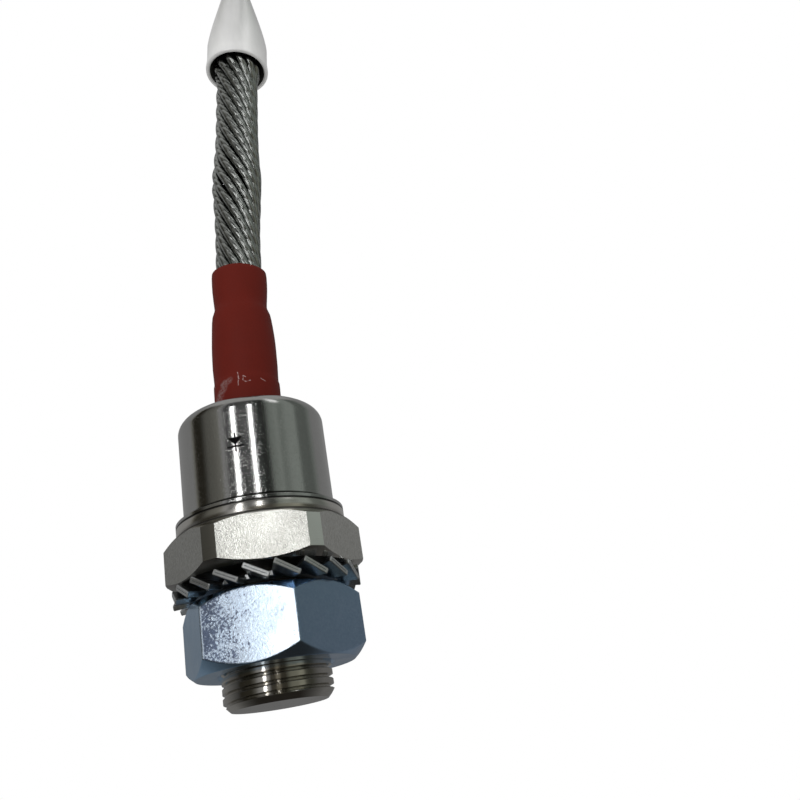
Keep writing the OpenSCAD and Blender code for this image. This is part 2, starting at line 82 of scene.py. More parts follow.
def addNode(tree, kind, inputs=None, **settings):
    # The inputs go by name or number, and are linked to a socket or set to a value
    node = tree.nodes.new(kind)
    column, row = len(tree.nodes) % 12, len(tree.nodes) // 12
    node.location = (column * 200, row * -300)
    for key, value in settings.items():
        setattr(node, key, value)
    for key, value in (inputs or {}).items():
        if isSocket(value):
            tree.links.new(value, node.inputs[key])
        elif value is not None:
            node.inputs[key].default_value = value
    return node


def mathMaker(operation):
    def make(*values, clamp=False):
        inputs = dict(enumerate(values))
        tree = treeOf(*values)
        return addNode(tree, "ShaderNodeMath", inputs, operation=operation, use_clamp=clamp).outputs[0]
    return make


times = mathMaker("MULTIPLY")
plus = mathMaker("ADD")
minus = mathMaker("SUBTRACT")
divided = mathMaker("DIVIDE")
over = mathMaker("GREATER_THAN")
under = mathMaker("LESS_THAN")
larger = mathMaker("MAXIMUM")
absolute = mathMaker("ABSOLUTE")
squareRoot = mathMaker("SQRT")
sine = mathMaker("SINE")
cosine = mathMaker("COSINE")
direction = mathMaker("ARCTAN2")


def spread(value, low, high, newLow=0.0, newHigh=1.0, smooth=False):
    # Carries low..high over to newLow..newHigh, and stays there outside
    inputs = dict(enumerate((value, low, high, newLow, newHigh)))
    node = addNode(value.id_data, "ShaderNodeMapRange", inputs, clamp=True)
    if smooth:
        node.interpolation_type = "SMOOTHSTEP"
    return node.outputs[0]


def mixColour(factor, first, second, blend="MIX"):
    tree = treeOf(factor, first, second)
    first, second = [(*value, 1) if isinstance(value, tuple) else value for value in (first, second)]
    inputs = {0: factor, 6: first, 7: second}
    return addNode(tree, "ShaderNodeMix", inputs, data_type="RGBA", blend_type=blend).outputs[2]


def apart(vector):
    return addNode(vector.id_data, "ShaderNodeSeparateXYZ", {0: vector}).outputs[:]


def together(*parts):
    return addNode(treeOf(*parts), "ShaderNodeCombineXYZ", dict(enumerate(parts))).outputs[0]


def vectorNode(operation, first, second=None):
    node = addNode(first.id_data, "ShaderNodeVectorMath", {0: first, 1: second}, operation=operation)
    return node.outputs["Value" if operation in ("DOT_PRODUCT", "LENGTH", "DISTANCE") else "Vector"]


def faceDirection(tree):
    return addNode(tree, "ShaderNodeNewGeometry").outputs["True Normal"]


def bumpNode(height, strength, depth, normal=None):
    inputs = {"Height": height, "Strength": strength, "Distance": depth, "Normal": normal}
    return addNode(height.id_data, "ShaderNodeBump", inputs).outputs[0]


def roundedNormal(tree, radius):
    return addNode(tree, "ShaderNodeBevel", {"Radius": radius}, samples=6).outputs[0]


def newGroup(name, kind, inputs, output):
    # A node group with its inputs, as (name, type, first value), and its one output
    tree = bpy.data.node_groups.new(name, kind)
    for label, sort, value in inputs:
        socket = tree.interface.new_socket(name=label, in_out="INPUT", socket_type="NodeSocket" + sort)
        if value is not None:
            socket.default_value = value
    label, sort = output
    tree.interface.new_socket(name=label, in_out="OUTPUT", socket_type="NodeSocket" + sort)
    return tree, addNode(tree, "NodeGroupInput").outputs


# Shared shader groups

arcRadius = 10 * mm  # the radius at which arc lengths round the axis are counted


def makeGrainGroup():
    # Noise stretched along a direction, for brushed, turned and drawn marks
    inputs = [("Place", "Vector", None), ("Stretch", "Vector", (1000, 1000, 1000)), ("Detail", "Float", 4.0),
              ("Contrast", "Float", 1.0)]
    tree, given = newGroup("surfaceGrain", "ShaderNodeTree", inputs, ("Value", "Float"))
    noise = addNode(tree, "ShaderNodeTexNoise", {
        "Vector": vectorNode("MULTIPLY", given["Place"], given["Stretch"]), "Scale": 1.0,
        "Detail": given["Detail"], "Roughness": 0.6}).outputs[0]
    value = plus(times(minus(noise, 0.5), given["Contrast"]), 0.5, clamp=True)
    addNode(tree, "NodeGroupOutput", {"Value": value})
    return tree


def makeAroundGroup():
    # Place on a turned piece as (arc length, radius, height), in metres
    inputs = [("Place", "Vector", None)]
    tree, given = newGroup("aroundAxis", "ShaderNodeTree", inputs, ("Vector", "Vector"))
    x, y, z = apart(given["Place"])
    arc = times(direction(x, times(y, -1.0)), arcRadius)
    radius = squareRoot(plus(times(x, x), times(y, y)))
    addNode(tree, "NodeGroupOutput", {"Vector": together(arc, radius, z)})
    return tree


def makeSpotGroup():
    # Small separate spots, such as pits and specks
    inputs = [("Place", "Vector", None), ("Scale", "Float", 1000.0), ("Size", "Float", 0.3),
              ("Softness", "Float", 0.1)]
    tree, given = newGroup("smallSpots", "ShaderNodeTree", inputs, ("Mask", "Float"))
    cells = addNode(tree, "ShaderNodeTexVoronoi", {
        "Vector": given["Place"], "Scale": given["Scale"]}, feature="F1").outputs
    chance = addNode(tree, "ShaderNodeSeparateColor", {0: cells["Color"]}).outputs[0]
    size = times(chance, given["Size"])
    mask = spread(cells["Distance"], minus(size, given["Softness"]), size, 1.0, 0.0)
    addNode(tree, "NodeGroupOutput", {"Mask": mask})
    return tree


def useGroup(group, **inputs):
    return addNode(inputs["Place"].id_data, "ShaderNodeGroup", inputs, node_tree=group).outputs[0]


def grainOn(place, stretch, contrast):
    if not isinstance(stretch, tuple):
        stretch = (stretch, stretch, stretch)
    return useGroup(grainGroup, Place=place, Stretch=stretch, Contrast=contrast)


grainGroup = makeGrainGroup()
aroundGroup = makeAroundGroup()
spotGroup = makeSpotGroup()
print("shared shader groups made")


# The lead's route, which the lug and the sleeve follow too: lengths in millimetres, angles in degrees

leadSizes = {
    "tubeBendZ": 35.75, "tubeLean": 1.5, "tubeTop": 53.55, "mouthZ": 119.2, "lean": 5.5, "bend": 25.0,
    "layer": 3.7874, "strand": 0.925, "layAngle": 24.0, "bottom": 36.45, "depthInLug": 8.0, "looseZ": 87.05,
    "looseHalf": 8.0, "swell": 0.7, "swellWaves": 0.5, "sway": 0.024, "swayWaves": 0.35, "count": 12,
    "step": 0.6, "sides": 16,
    "flare": 0.72, "flareZ": 119.9, "flareBelow": 2.3, "flareAbove": 1.0,
}


def leadRoute(z):
    # Sideways place and slope of the lead's centre line at height z
    s = leadSizes
    bend = s["bend"]
    tubeSlope = math.tan(math.radians(s["tubeLean"]))
    run = s["mouthZ"] - s["tubeTop"]
    share = (s["lean"] - tubeSlope * (s["mouthZ"] - s["tubeBendZ"])) / (math.hypot(run, bend) - bend)
    u = min(max(z - s["tubeTop"], 0), run)
    slope = (tubeSlope if z >= s["tubeBendZ"] else 0) + share * u / math.hypot(u, bend)
    x = tubeSlope * max(min(z, s["mouthZ"]) - s["tubeBendZ"], 0) + share * (math.hypot(u, bend) - bend)
    return x + max(z - s["mouthZ"], 0) * slope, slope


def looseness(z):
    return math.exp(-((z - leadSizes["looseZ"]) / leadSizes["looseHalf"]) ** 2)


def strandLine(z, wave=0.0):
    # Distance of a strand's own line from the lead's centre: wider where loose, and in the lug's mouth
    s = leadSizes
    reach = s["flareBelow"] if z < s["flareZ"] else s["flareAbove"]
    flare = math.exp(-((z - s["flareZ"]) / reach) ** 2)
    return s["layer"] + s["swell"] * looseness(z) * (0.85 + 0.15 * wave) + s["flare"] * flare


def leadPoint(z, radius, angle):
    # A point round the lead's centre line, in metres
    middle, slope = leadRoute(z)
    tilt = math.atan(slope)
    x, y = radius * math.cos(angle), radius * math.sin(angle)
    return Vector((middle + x * math.cos(tilt), y, z - x * math.sin(tilt))) * mm


def lugAxis():
    # Centre of the lug's mouth, in metres, and the direction of its axis
    x, slope = leadRoute(leadSizes["mouthZ"])
    tilt = math.atan(slope)
    return Vector((x, 0, leadSizes["mouthZ"])) * mm, Vector((math.sin(tilt), 0, math.cos(tilt)))


# Materials: a pair of colours is (dark, light)

def newMaterial(name):
    # An empty material with its tree, and the place on the object
    material = bpy.data.materials.new(name)
    material.use_nodes = True
    tree = material.node_tree
    tree.nodes.clear()
    return material, tree, addNode(tree, "ShaderNodeTexCoord").outputs["Object"]


def finishWith(material, colour, rough, metallic, normal, **others):
    inputs = {"Base Color": colour, "Roughness": rough, "Metallic": metallic, "Normal": normal, **others}
    shader = addNode(material.node_tree, "ShaderNodeBsdfPrincipled", inputs)
    addNode(material.node_tree, "ShaderNodeOutputMaterial", {0: shader.outputs[0]})
    return material


def roughBy(pattern, look):
    return spread(pattern, 0.2, 0.8, *look["rough"])


def grainedNormal(grain, look):
    # Grain in the surface, over edges that are a little rounded
    return bumpNode(grain, look["bump"], 0.03 * mm, roundedNormal(grain.id_data, look["edge"]))


def stainedColour(grain, cloud, look):
    # Dark and light by the grain, with the stain where the cloud is dense
    colour = mixColour(grain, *look["colours"])
    return mixColour(times(cloud, look["stained"]), colour, look["stain"])


def metalMaterial(name, look):
    # A metal with grain in its colour, roughness and height, and worn edges
    look = {"contrast": 1.6, "edge": 0.15 * mm, "metallic": 1.0, "turned": False, "stained": 0.3,
            "stain": look["colours"][0], **look}
    material, _, place = newMaterial(name)
    if look["turned"]:
        place = useGroup(aroundGroup, Place=place)
    grain = grainOn(place, look["grain"], look["contrast"])
    cloud = grainOn(place, 160, 2.0)
    colour = stainedColour(grain, cloud, look)
    return finishWith(material, colour, roughBy(cloud, look), look["metallic"], grainedNormal(grain, look))


plainMetals = {
    "plainSteel": {
        "colours": ((0.30, 0.30, 0.30), (0.50, 0.50, 0.49)), "rough": (0.25, 0.4), "bump": 0.25,
        "grain": (300, 3000, 3000), "turned": True},
    "springSteel": {
        "colours": ((0.17, 0.17, 0.18), (0.30, 0.30, 0.31)), "rough": (0.2, 0.35), "bump": 0.2,
        "grain": (300, 2500, 2500), "turned": True},
    "groundMolybdenum": {
        "colours": ((0.28, 0.29, 0.31), (0.45, 0.46, 0.48)), "rough": (0.3, 0.45), "bump": 0.2,
        "grain": 2500},
    "bareCopper": {
        "colours": ((0.45, 0.19, 0.10), (0.72, 0.36, 0.22)), "rough": (0.25, 0.45), "bump": 0.25,
        "grain": (400, 3000, 3000), "turned": True},
    "polishedSilicon": {
        "colours": ((0.10, 0.11, 0.14), (0.16, 0.17, 0.21)), "rough": (0.05, 0.12), "bump": 0.03,
        "grain": 500},
    # The core inside the strands, near-black as painted shade seen through the gaps
    "leadCoreShade": {
        "colours": ((0.02, 0.021, 0.02), (0.06, 0.062, 0.06)), "rough": (0.6, 0.75), "bump": 0.3,
        "grain": (2500, 2500, 700)},
    "brightTin": {
        "colours": ((0.86, 0.86, 0.85), (0.95, 0.95, 0.94)), "rough": (0.42, 0.54), "bump": 0.08,
        "grain": (900, 900, 260), "contrast": 1.4, "stain": (0.78, 0.78, 0.76), "stained": 0.2,
        "edge": 0.25 * mm, "metallic": 0.35},
}


def baseMaterial():
    # Nickel plate: milled grain on the hexagon's flats, turned rings elsewhere, and painted shade in the
    # corners, on faces that look down and towards the left
    look = {
        "ring": ((0.50, 0.485, 0.45), (0.64, 0.62, 0.58)), "collar": ((0.66, 0.64, 0.60), (0.82, 0.80, 0.76)),
        "flat": ((0.46, 0.46, 0.42), (0.81, 0.815, 0.78)), "corner": ((0.34, 0.33, 0.31), (0.86, 0.86, 0.83)),
        "stain": (0.34, 0.32, 0.28), "stained": 0.08, "paintedShade": (0.035, 0.033, 0.030),
        # Grain, as (stretch, contrast)
        "milled": ((4400, 4400, 2000), 1.9), "turned": ((350, 5200, 5200), 1.4), "cloud": (130, 2.4),
        "bump": 0.14, "rough": (0.085, 0.22), "collarRough": 0.06, "cloudRough": 0.05, "paintedShadeRough": 0.3,
        "flatTop": 8.6 * mm, "shaft": 11 * mm, "edge": 0.06 * mm,
        # Painted shade on the left flat, which is darker, and painted shade and light on the turned corners,
        # darker on the left than on the right
        "leftFlatShade": (-9.5 * mm, -8.5 * mm, 0.8, 1.0), "cornerShadeFrom": (-4 * mm, 4 * mm),
        "collarFrom": 8.7 * mm, "collarBulge": {"middle": 9.6 * mm, "half": 0.95 * mm, "depth": 0.1 * mm},
        # Painted shade by height, each as (from, to, first, last): under the collar, on its top edge, and
        # round the hexagon's foot where the washer sits
        "underCollarShade": ((7.9 * mm, 8.3 * mm, 0.0, 0.8), (8.68 * mm, 8.9 * mm, 1.0, 0.0)),
        "topEdgeShade": (10.28 * mm, 10.42 * mm, 0.0, 0.95),
        "seatShade": ((-3.2 * mm, -2.6 * mm, 0.0, 0.75), (0.02 * mm, 0.06 * mm, 1.0, 0.0)),
        "undersideShade": (-4 * mm, 4 * mm, 0.6, 0.15),
    }
    material, tree, place = newMaterial("nickelBase")
    x, _, high = apart(place)
    around = useGroup(aroundGroup, Place=place)
    faceX, faceY, faceZ = apart(faceDirection(tree))
    upright = spread(absolute(faceZ), 0.05, 0.1, 1.0, 0.0)
    outside = over(apart(around)[1], look["shaft"])
    hexagon = times(times(upright, under(high, look["flatTop"])), outside)
    # Six flats: the cosine of six times the facing angle is -1 on them and near 1 on the turned corners
    sixfold = cosine(times(direction(faceY, faceX), 6.0))
    flats = times(hexagon, under(sixfold, 0.0))
    milled = grainOn(place, *look["milled"])
    turned = grainOn(around, *look["turned"])
    cloud = grainOn(place, *look["cloud"])
    grain = addNode(tree, "ShaderNodeMix", {0: flats, 2: turned, 3: milled}, data_type="FLOAT").outputs[0]
    onCollar = over(high, look["collarFrom"])
    ringColour = mixColour(onCollar, mixColour(grain, *look["ring"]), mixColour(grain, *look["collar"]))
    # Painted shade on the left corners and painted light on the right ones
    cornerLightAndShade = mixColour(spread(x, *look["cornerShadeFrom"]), *look["corner"])
    turnedColour = mixColour(minus(hexagon, flats), ringColour, cornerLightAndShade)
    # Painted shade: the left flat's colour is darkened
    shade = spread(x, *look["leftFlatShade"])
    grey = addNode(tree, "ShaderNodeCombineColor", {0: shade, 1: shade, 2: shade}).outputs[0]
    flatColour = mixColour(1.0, mixColour(grain, *look["flat"]), grey, "MULTIPLY")
    colour = mixColour(flats, turnedColour, flatColour)
    colour = mixColour(times(cloud, look["stained"]), colour, look["stain"])

    def band(rise, fall):
        return times(spread(high, *rise), spread(high, *fall))

    # Painted shade on the outer faces that look down, stronger towards the left
    undersideShade = times(under(faceZ, -0.2), spread(x, *look["undersideShade"]))
    seatShade = larger(band(*look["seatShade"]), times(undersideShade, outside))
    # All the painted shade by height and facing together, which also makes the surface rougher there
    paintedShade = larger(larger(band(*look["underCollarShade"]), spread(high, *look["topEdgeShade"])), seatShade)
    rough = plus(spread(flats, 0.0, 1.0, *look["rough"]), times(onCollar, look["collarRough"]))
    rough = plus(rough, times(cloud, look["cloudRough"]))
    rough = plus(rough, times(paintedShade, look["paintedShadeRough"]))
    # The collar bulges a little, which rounds off what it mirrors
    form = look["collarBulge"]
    offset = divided(minus(high, form["middle"]), form["half"])
    bulge = minus(1.0, times(offset, offset), clamp=True)
    bulged = bumpNode(bulge, 1.0, form["depth"], roundedNormal(tree, look["edge"]))
    normal = bumpNode(grain, look["bump"], 0.03 * mm, bulged)
    return finishWith(material, mixColour(paintedShade, colour, look["paintedShade"]), rough, 1.0, normal)


def canMaterial():
    # Bright nickel on drawn steel, with a plain printed diode symbol that points down at its bar
    look = {
        "colours": ((0.53, 0.53, 0.52), (0.61, 0.61, 0.60)), "stain": (0.42, 0.42, 0.40), "stained": 0.3,
        "grain": ((4600, 4600, 3000), 2.0), "cloud": ((260, 90, 60), 2.2), "rough": (0.065, 0.085),
        "pits": {"Scale": 4300.0, "Size": 0.5, "Softness": 0.2}, "pitBump": 0.3, "bump": 0.2,
        "edge": 0.1 * mm,
        "radius": 13.7 * mm, "symbolAngle": -12.4, "ink": (0.006, 0.006, 0.0065), "inkRough": 0.35,
        "barTop": 21.26 * mm, "triangleTop": 22.8 * mm, "triangleHalf": 1.3 * mm,
        # Strips of the symbol: (half width, low, top)
        "bar": (1.5 * mm, 20.92 * mm, 21.26 * mm), "line": (0.16 * mm, 20.0 * mm, 23.7 * mm),
        # Dark lines, each as (from, to, first, last): painted shade at the foot of the wall above the brim,
        # by height and radius, and the weld's own dark line
        "weldAndShadeLine": (0.014, 0.014, 0.013), "brim": (12.0 * mm, 12.2 * mm, 1.0, 0.0),
        "brimReach": (14.3 * mm, 14.55 * mm, 0.94, 0.0), "weld": (10.66 * mm, 10.8 * mm, 0.94, 0.0),
    }
    material, tree, place = newMaterial("nickelCan")
    around = useGroup(aroundGroup, Place=place)
    arc, radius, high = apart(around)
    grain = grainOn(place, *look["grain"])
    cloud = grainOn(around, *look["cloud"])
    middle = math.radians(look["symbolAngle"]) * look["radius"]
    across = absolute(minus(times(arc, look["radius"] / arcRadius), middle))
    # The triangle's half width grows from nothing at the bar to the full width at its top
    half = spread(high, look["barTop"], look["triangleTop"], 0.0, look["triangleHalf"])
    triangle = times(under(across, half), under(high, look["triangleTop"]))

    def strip(halfWidth, low, top):
        return times(times(under(across, halfWidth), over(high, low)), under(high, top))

    symbol = larger(larger(triangle, strip(*look["bar"])), strip(*look["line"]))
    ink = times(symbol, over(radius, look["radius"] - 0.3 * mm))
    # Painted shade at the wall's foot; the weld's dark line below it is the can's own
    brim = times(spread(high, *look["brim"]), spread(radius, *look["brimReach"]))
    weldAndShadeLine = larger(brim, spread(high, *look["weld"]))
    colour = mixColour(weldAndShadeLine, stainedColour(grain, cloud, look), look["weldAndShadeLine"])
    rough = plus(roughBy(cloud, look), times(ink, look["inkRough"]))
    pits = useGroup(spotGroup, Place=place, **look["pits"])
    pitted = bumpNode(pits, look["pitBump"], 0.02 * mm, roundedNormal(tree, look["edge"]))
    normal = bumpNode(grain, look["bump"], 0.02 * mm, pitted)
    return finishWith(material, mixColour(ink, colour, look["ink"]), rough, 1.0, normal)


def nutMaterial():
    # Bluish zinc plate, with dark flecks that crowd towards the left of the flat nearest the camera, partly
    # as painted shade
    look = {
        "colours": ((0.54, 0.64, 0.77), (0.68, 0.775, 0.885)), "stain": (0.36, 0.48, 0.62), "stained": 0.3,
        "sideReflectionTints": ((0.72, 0.95, 1.12), (0.84, 1.0, 1.16)), "fleck": (0.09, 0.12, 0.20),
        "grain": (2200, 1.8), "cloud": (170, 2.2), "crystals": (2700, 2.6), "patches": (420, 1.8),
        "rough": (0.17, 0.25), "bump": 0.15, "edge": 0.4 * mm,
        # Angles round the axis: the near flat, the part of it with flecks, and where they thin out
        "nearFlat": (-45.0, 15.0), "flecked": (-43.8, 14.0), "thinning": (-43.0, -9.0),
    }
    material, tree, place = newMaterial("zincNut")
    arc = apart(useGroup(aroundGroup, Place=place))[0]
    _, faceY, faceZ = apart(faceDirection(tree))
    grain = grainOn(place, *look["grain"])
    cloud = grainOn(place, *look["cloud"])
    crystals = grainOn(place, *look["crystals"])
    patches = grainOn(place, *look["patches"])

    def arcs(name):
        return [math.radians(angle) * arcRadius for angle in look[name]]

    def between(first, last):
        return times(over(arc, first), under(arc, last))

    upright = under(absolute(faceZ), 0.1)
    flecked = times(between(*arcs("flecked")), upright)
    nearFlat = times(between(*arcs("nearFlat")), upright)
    # The flecks are the plate's own, and crowding them towards the left also paints shade there
    crowdAndShade = times(spread(arc, *arcs("thinning"), 0.7, 0.08), flecked)
    limit = plus(crowdAndShade, times(minus(patches, 0.5), 0.5))
    flecks = times(spread(minus(crystals, limit), -0.08, 0.05, 0.9, 0.0), flecked)
    # Painted reflection: the side flats are tinted bluer, the left one darker too, and the near one and those
    # behind stay plain
    sideReflectionTint = mixColour(over(arc, 0.0), *look["sideReflectionTints"])
    plain = larger(nearFlat, over(faceY, 0.35))
    colour = mixColour(minus(1.0, plain), stainedColour(grain, cloud, look), sideReflectionTint, "MULTIPLY")
    colour = mixColour(flecks, colour, look["fleck"])
    return finishWith(material, colour, roughBy(cloud, look), 1.0, grainedNormal(grain, look))


def washerMaterial():
    # Dark oiled spring steel whose cut tooth ends are bright
    look = {"cut": ((0.66, 0.68, 0.69), (0.86, 0.88, 0.88)), "face": ((0.48, 0.51, 0.53), (0.76, 0.80, 0.83)),
            "grain": (1800, 1.8), "rough": (0.3, 0.42), "bump": 0.2, "edge": 0.1 * mm}
    material, tree, place = newMaterial("washerSteel")
    outwards = vectorNode("NORMALIZE", vectorNode("MULTIPLY", place, (1, 1, 0)))
    cut = spread(vectorNode("DOT_PRODUCT", outwards, faceDirection(tree)), 0.6, 0.8)
    grain = grainOn(place, *look["grain"])
    colour = mixColour(cut, mixColour(grain, *look["face"]), mixColour(grain, *look["cut"]))
    rough = spread(cut, 0.0, 1.0, *look["rough"])
    return finishWith(material, colour, rough, 1.0, grainedNormal(grain, look))


def lugMaterial():
    # Pale tin plate, with painted shade inside the mouth, and more like bare metal where the tube is pressed
    # flat
    look = {
        "colours": ((0.90, 0.90, 0.89), (0.97, 0.97, 0.96)), "bore": (0.035, 0.035, 0.033),
        "palm": (0.87, 0.87, 0.86), "rough": (0.34, 0.44), "metal": (0.32, 0.78), "bump": 0.08,
        "edge": 0.3 * mm, "grain": ((900, 900, 260), 1.6), "pressed": (2 * mm, 24 * mm),
        "boreShadeDepth": 9.4 * mm,
        # The painted shade's radius in the bore falls over the bell's length: (from, to, at the rim, inside)
        "bell": (0.0, 2.5 * mm, 6.35 * mm, 5.1 * mm),
    }
    material, _, place = newMaterial("tinnedLug")
    mouth, axis = lugAxis()
    fromMouth = vectorNode("SUBTRACT", place, mouth)
    along = vectorNode("DOT_PRODUCT", fromMouth, axis)
    length = vectorNode("LENGTH", fromMouth)
    radius = squareRoot(minus(times(length, length), times(along, along)))
    # Painted shade: near-black inside the mouth and down the bore
    boreShadeMask = times(under(radius, spread(along, *look["bell"])), under(along, look["boreShadeDepth"]))
    pressed = spread(along, *look["pressed"])
    grain = grainOn(place, *look["grain"])
    tin = mixColour(pressed, mixColour(grain, *look["colours"]), look["palm"])
    colour = mixColour(boreShadeMask, tin, look["bore"])
    metallic = spread(pressed, 0.0, 1.0, *look["metal"])
    return finishWith(material, colour, roughBy(grain, look), metallic, grainedNormal(grain, look))


def leadMaterial():
    # Fine tinned wires, greyed, with painted shade where the strands turn inwards and in the valleys between
    # the wires' beads
    look = {
        "colours": ((0.39, 0.405, 0.39), (0.52, 0.54, 0.52)), "deep": (0.02, 0.02, 0.019),
        "rough": (0.22, 0.32), "grain": ((700, 700, 350), 2.2), "depth": 0.135 * mm,
        "wires": 7, "twist": -2400.0, "ridge": 0.06, "beads": 1225.0, "beadTurn": 1.0,
        "wireGapShade": (0.0, 0.3, 0.22, 0.0), "strandGapShade": (0.1, 0.45, 0.9, 0.0),
    }
    material, tree, place = newMaterial("leadWire")

    def pointValue(name):
        return addNode(tree, "ShaderNodeAttribute", attribute_name=name, attribute_type="GEOMETRY").outputs

    x, y, along = apart(pointValue("wirePlace")["Vector"])
    angle = direction(y, x)
    wave = sine(plus(times(angle, look["wires"]), times(along, look["twist"])))
    # Beads of light: where the wires rise over the strand's crest
    beads = absolute(sine(plus(times(along, look["beads"]), times(angle, look["beadTurn"]))))
    heights = plus(beads, times(spread(wave, -1.0, 1.0), look["ridge"]))
    grain = grainOn(place, *look["grain"])
    # Painted shade where the strands meet and between the wires' beads
    strandGapShade = spread(pointValue("outness")["Fac"], *look["strandGapShade"])
    shadedGaps = larger(spread(beads, *look["wireGapShade"]), strandGapShade)
    colour = mixColour(shadedGaps, mixColour(grain, *look["colours"]), look["deep"])
    return finishWith(material, colour, roughBy(grain, look), 1.0, bumpNode(heights, 1.0, look["depth"]))


def sleeveMaterial():
    # Dull red silicone with pale scuffs round its foot
    look = {
        "colours": ((0.110, 0.0096, 0.0051), (0.130, 0.0108, 0.0057)), "rough": (0.5, 0.64), "shine": 0.13,
        "scuff": (0.40, 0.27, 0.26), "smear": (0.20, 0.115, 0.11), "radius": 6.2 * mm, "wobble": 0.9 * mm,
        "wavy": (500, 1.0), "speck": (2600, 3.0), "cloud": ((120, 120, 90), 2.0),
        "fine": ((1400, 1400, 900), 1.2), "bump": 0.12,
        # Short strokes: from (angle, height) to (angle, height), in degrees and millimetres, and the width
        "scuffs": [((-14, 36.2), (-12.3, 37.5), 0.15), ((-12.3, 37.5), (-13.4, 38.9), 0.13),
                   ((-5.5, 37.1), (-4, 38.0), 0.12), ((-4, 38.0), (-0.5, 37.7), 0.11),
                   ((-5.5, 37.1), (0, 36.6), 0.14), ((0, 36.6), (7, 36.9), 0.13),
                   ((26, 37.4), (36, 36.8), 0.12)],
        "smears": [((-78, 32.4), (-56, 34.9), 1.6), ((-60, 35.0), (-42, 36.6), 1.1),
                   ((-44, 37.2), (-28, 37.6), 0.8)],
    }
    material, tree, place = newMaterial("redSilicone")
    arc, _, high = apart(useGroup(aroundGroup, Place=place))
    shift = times(minus(grainOn(place, *look["wavy"]), 0.5), look["wobble"])
    flat = together(plus(times(arc, look["radius"] / arcRadius), shift), minus(high, shift))

    def onFlat(angle, z):
        return Vector((math.radians(angle) * look["radius"], z * mm, 0))

    def strokeMask(stroke):
        start, end, width = stroke
        run = onFlat(*end) - onFlat(*start)
        away = vectorNode("SUBTRACT", flat, onFlat(*start))
        share = plus(vectorNode("DOT_PRODUCT", away, run / run.length_squared), 0.0, clamp=True)
        near = addNode(tree, "ShaderNodeVectorMath", {0: run, "Scale": share}, operation="SCALE").outputs[0]
        return spread(vectorNode("DISTANCE", away, near), width * mm * 0.3, width * mm, 1.0, 0.0)

    def allStrokes(strokes):
        masks = [strokeMask(stroke) for stroke in strokes]
        whole = masks[0]
        for mask in masks[1:]:
            whole = larger(whole, mask)
        return whole

    speck = grainOn(place, *look["speck"])
    cloud = grainOn(place, *look["cloud"])
    worn = times(allStrokes(look["scuffs"]), spread(speck, 0.25, 0.6, 0.25, 1.0))
    rubbed = times(allStrokes(look["smears"]), spread(speck, 0.2, 0.7, 0.15, 0.8))
    colour = mixColour(rubbed, mixColour(cloud, *look["colours"]), look["smear"])
    colour = mixColour(worn, colour, look["scuff"])
    normal = bumpNode(grainOn(place, *look["fine"]), look["bump"], 0.06 * mm)
    shine = {"Specular IOR Level": look["shine"]}
    return finishWith(material, colour, roughBy(cloud, look), None, normal, **shine)


def mottledMaterial(name, look):
    # Rubber, board or glass with a soft mottle
    material, _, place = newMaterial(name)
    grain = grainOn(place, look["grain"], 1.6)
    colour = mixColour(grain, *look["colours"])
    return finishWith(material, colour, roughBy(grain, look), None, bumpNode(grain, look["bump"], 0.05 * mm))


mottled = {
    "whiteCoat": {
        "colours": ((0.62, 0.60, 0.56), (0.76, 0.74, 0.70)), "rough": (0.5, 0.65), "bump": 0.1, "grain": 900},
    "insulatingBoard": {
        "colours": ((0.50, 0.44, 0.32), (0.66, 0.60, 0.47)), "rough": (0.5, 0.7), "bump": 0.2,
        "grain": (1200, 1200, 300)},
    "sealGlass": {
        "colours": ((0.02, 0.04, 0.04), (0.05, 0.09, 0.085)), "rough": (0.08, 0.16), "bump": 0.03,
        "grain": 700},
}

finishes = {"base": baseMaterial(), "can": canMaterial(), "nut": nutMaterial(), "lead": leadMaterial(),
            "sleeve": sleeveMaterial(), "lug": lugMaterial(), "washer": washerMaterial()}
for name, look in plainMetals.items():
    finishes[name] = metalMaterial(name, look)
for name, look in mottled.items():
    finishes[name] = mottledMaterial(name, look)

solidsByFinish = {
    "can": ["can"],
    "nut": ["nut"],
    "plainSteel": ["weld_ring", "spring_cup", "pressure_washer", "seal_eyelet"],
    "springSteel": ["retaining_ring", "disc_spring_low", "disc_spring_mid", "disc_spring_top"],
    "groundMolybdenum": ["lower_plate", "upper_plate"],
    "polishedSilicon": ["silicon_wafer"],
    "bareCopper": ["contact_post", "inner_lead"],
    "leadCoreShade": ["lead_core"],
    "brightTin": ["terminal_tube"],
    "whiteCoat": ["edge_coat"],
    "insulatingBoard": ["insulating_washer", "guide_sleeve"],
    "sealGlass": ["seal_glass"],
}
for finish, names in solidsByFinish.items():
    for name in names:
        for materialSlot in nodes[name].material_slots:
            materialSlot.link = "OBJECT"
            materialSlot.material = finishes[finish]
print("materials made")


# Mesh helpers

def newPiece(name, vertices, faces, finish):
    mesh = bpy.data.meshes.new(name)
    mesh.from_pydata([tuple(vertex) for vertex in vertices], [], faces)
    mesh.materials.append(finishes[finish])
    return addObject(name, mesh)


def meshFrom(work, name):
    mesh = bpy.data.meshes.new(name)
    work.to_mesh(mesh)
    work.free()
    return mesh


def tidyMesh(piece, sharpAngle, merge=1e-6):
    # Doubles merged, normals outwards, smooth except at sharp edges
    work = bmesh.new()
    work.from_mesh(piece.data)
    bmesh.ops.remove_doubles(work, verts=work.verts, dist=merge)
    bmesh.ops.dissolve_degenerate(work, edges=work.edges, dist=merge)
    bmesh.ops.recalc_face_normals(work, faces=work.faces)
    for face in work.faces:
        face.smooth = True
    limit = math.radians(sharpAngle)
    for edge in work.edges:
        edge.smooth = len(edge.link_faces) == 2 and edge.calc_face_angle(0) < limit
    work.to_mesh(piece.data)
    work.free()


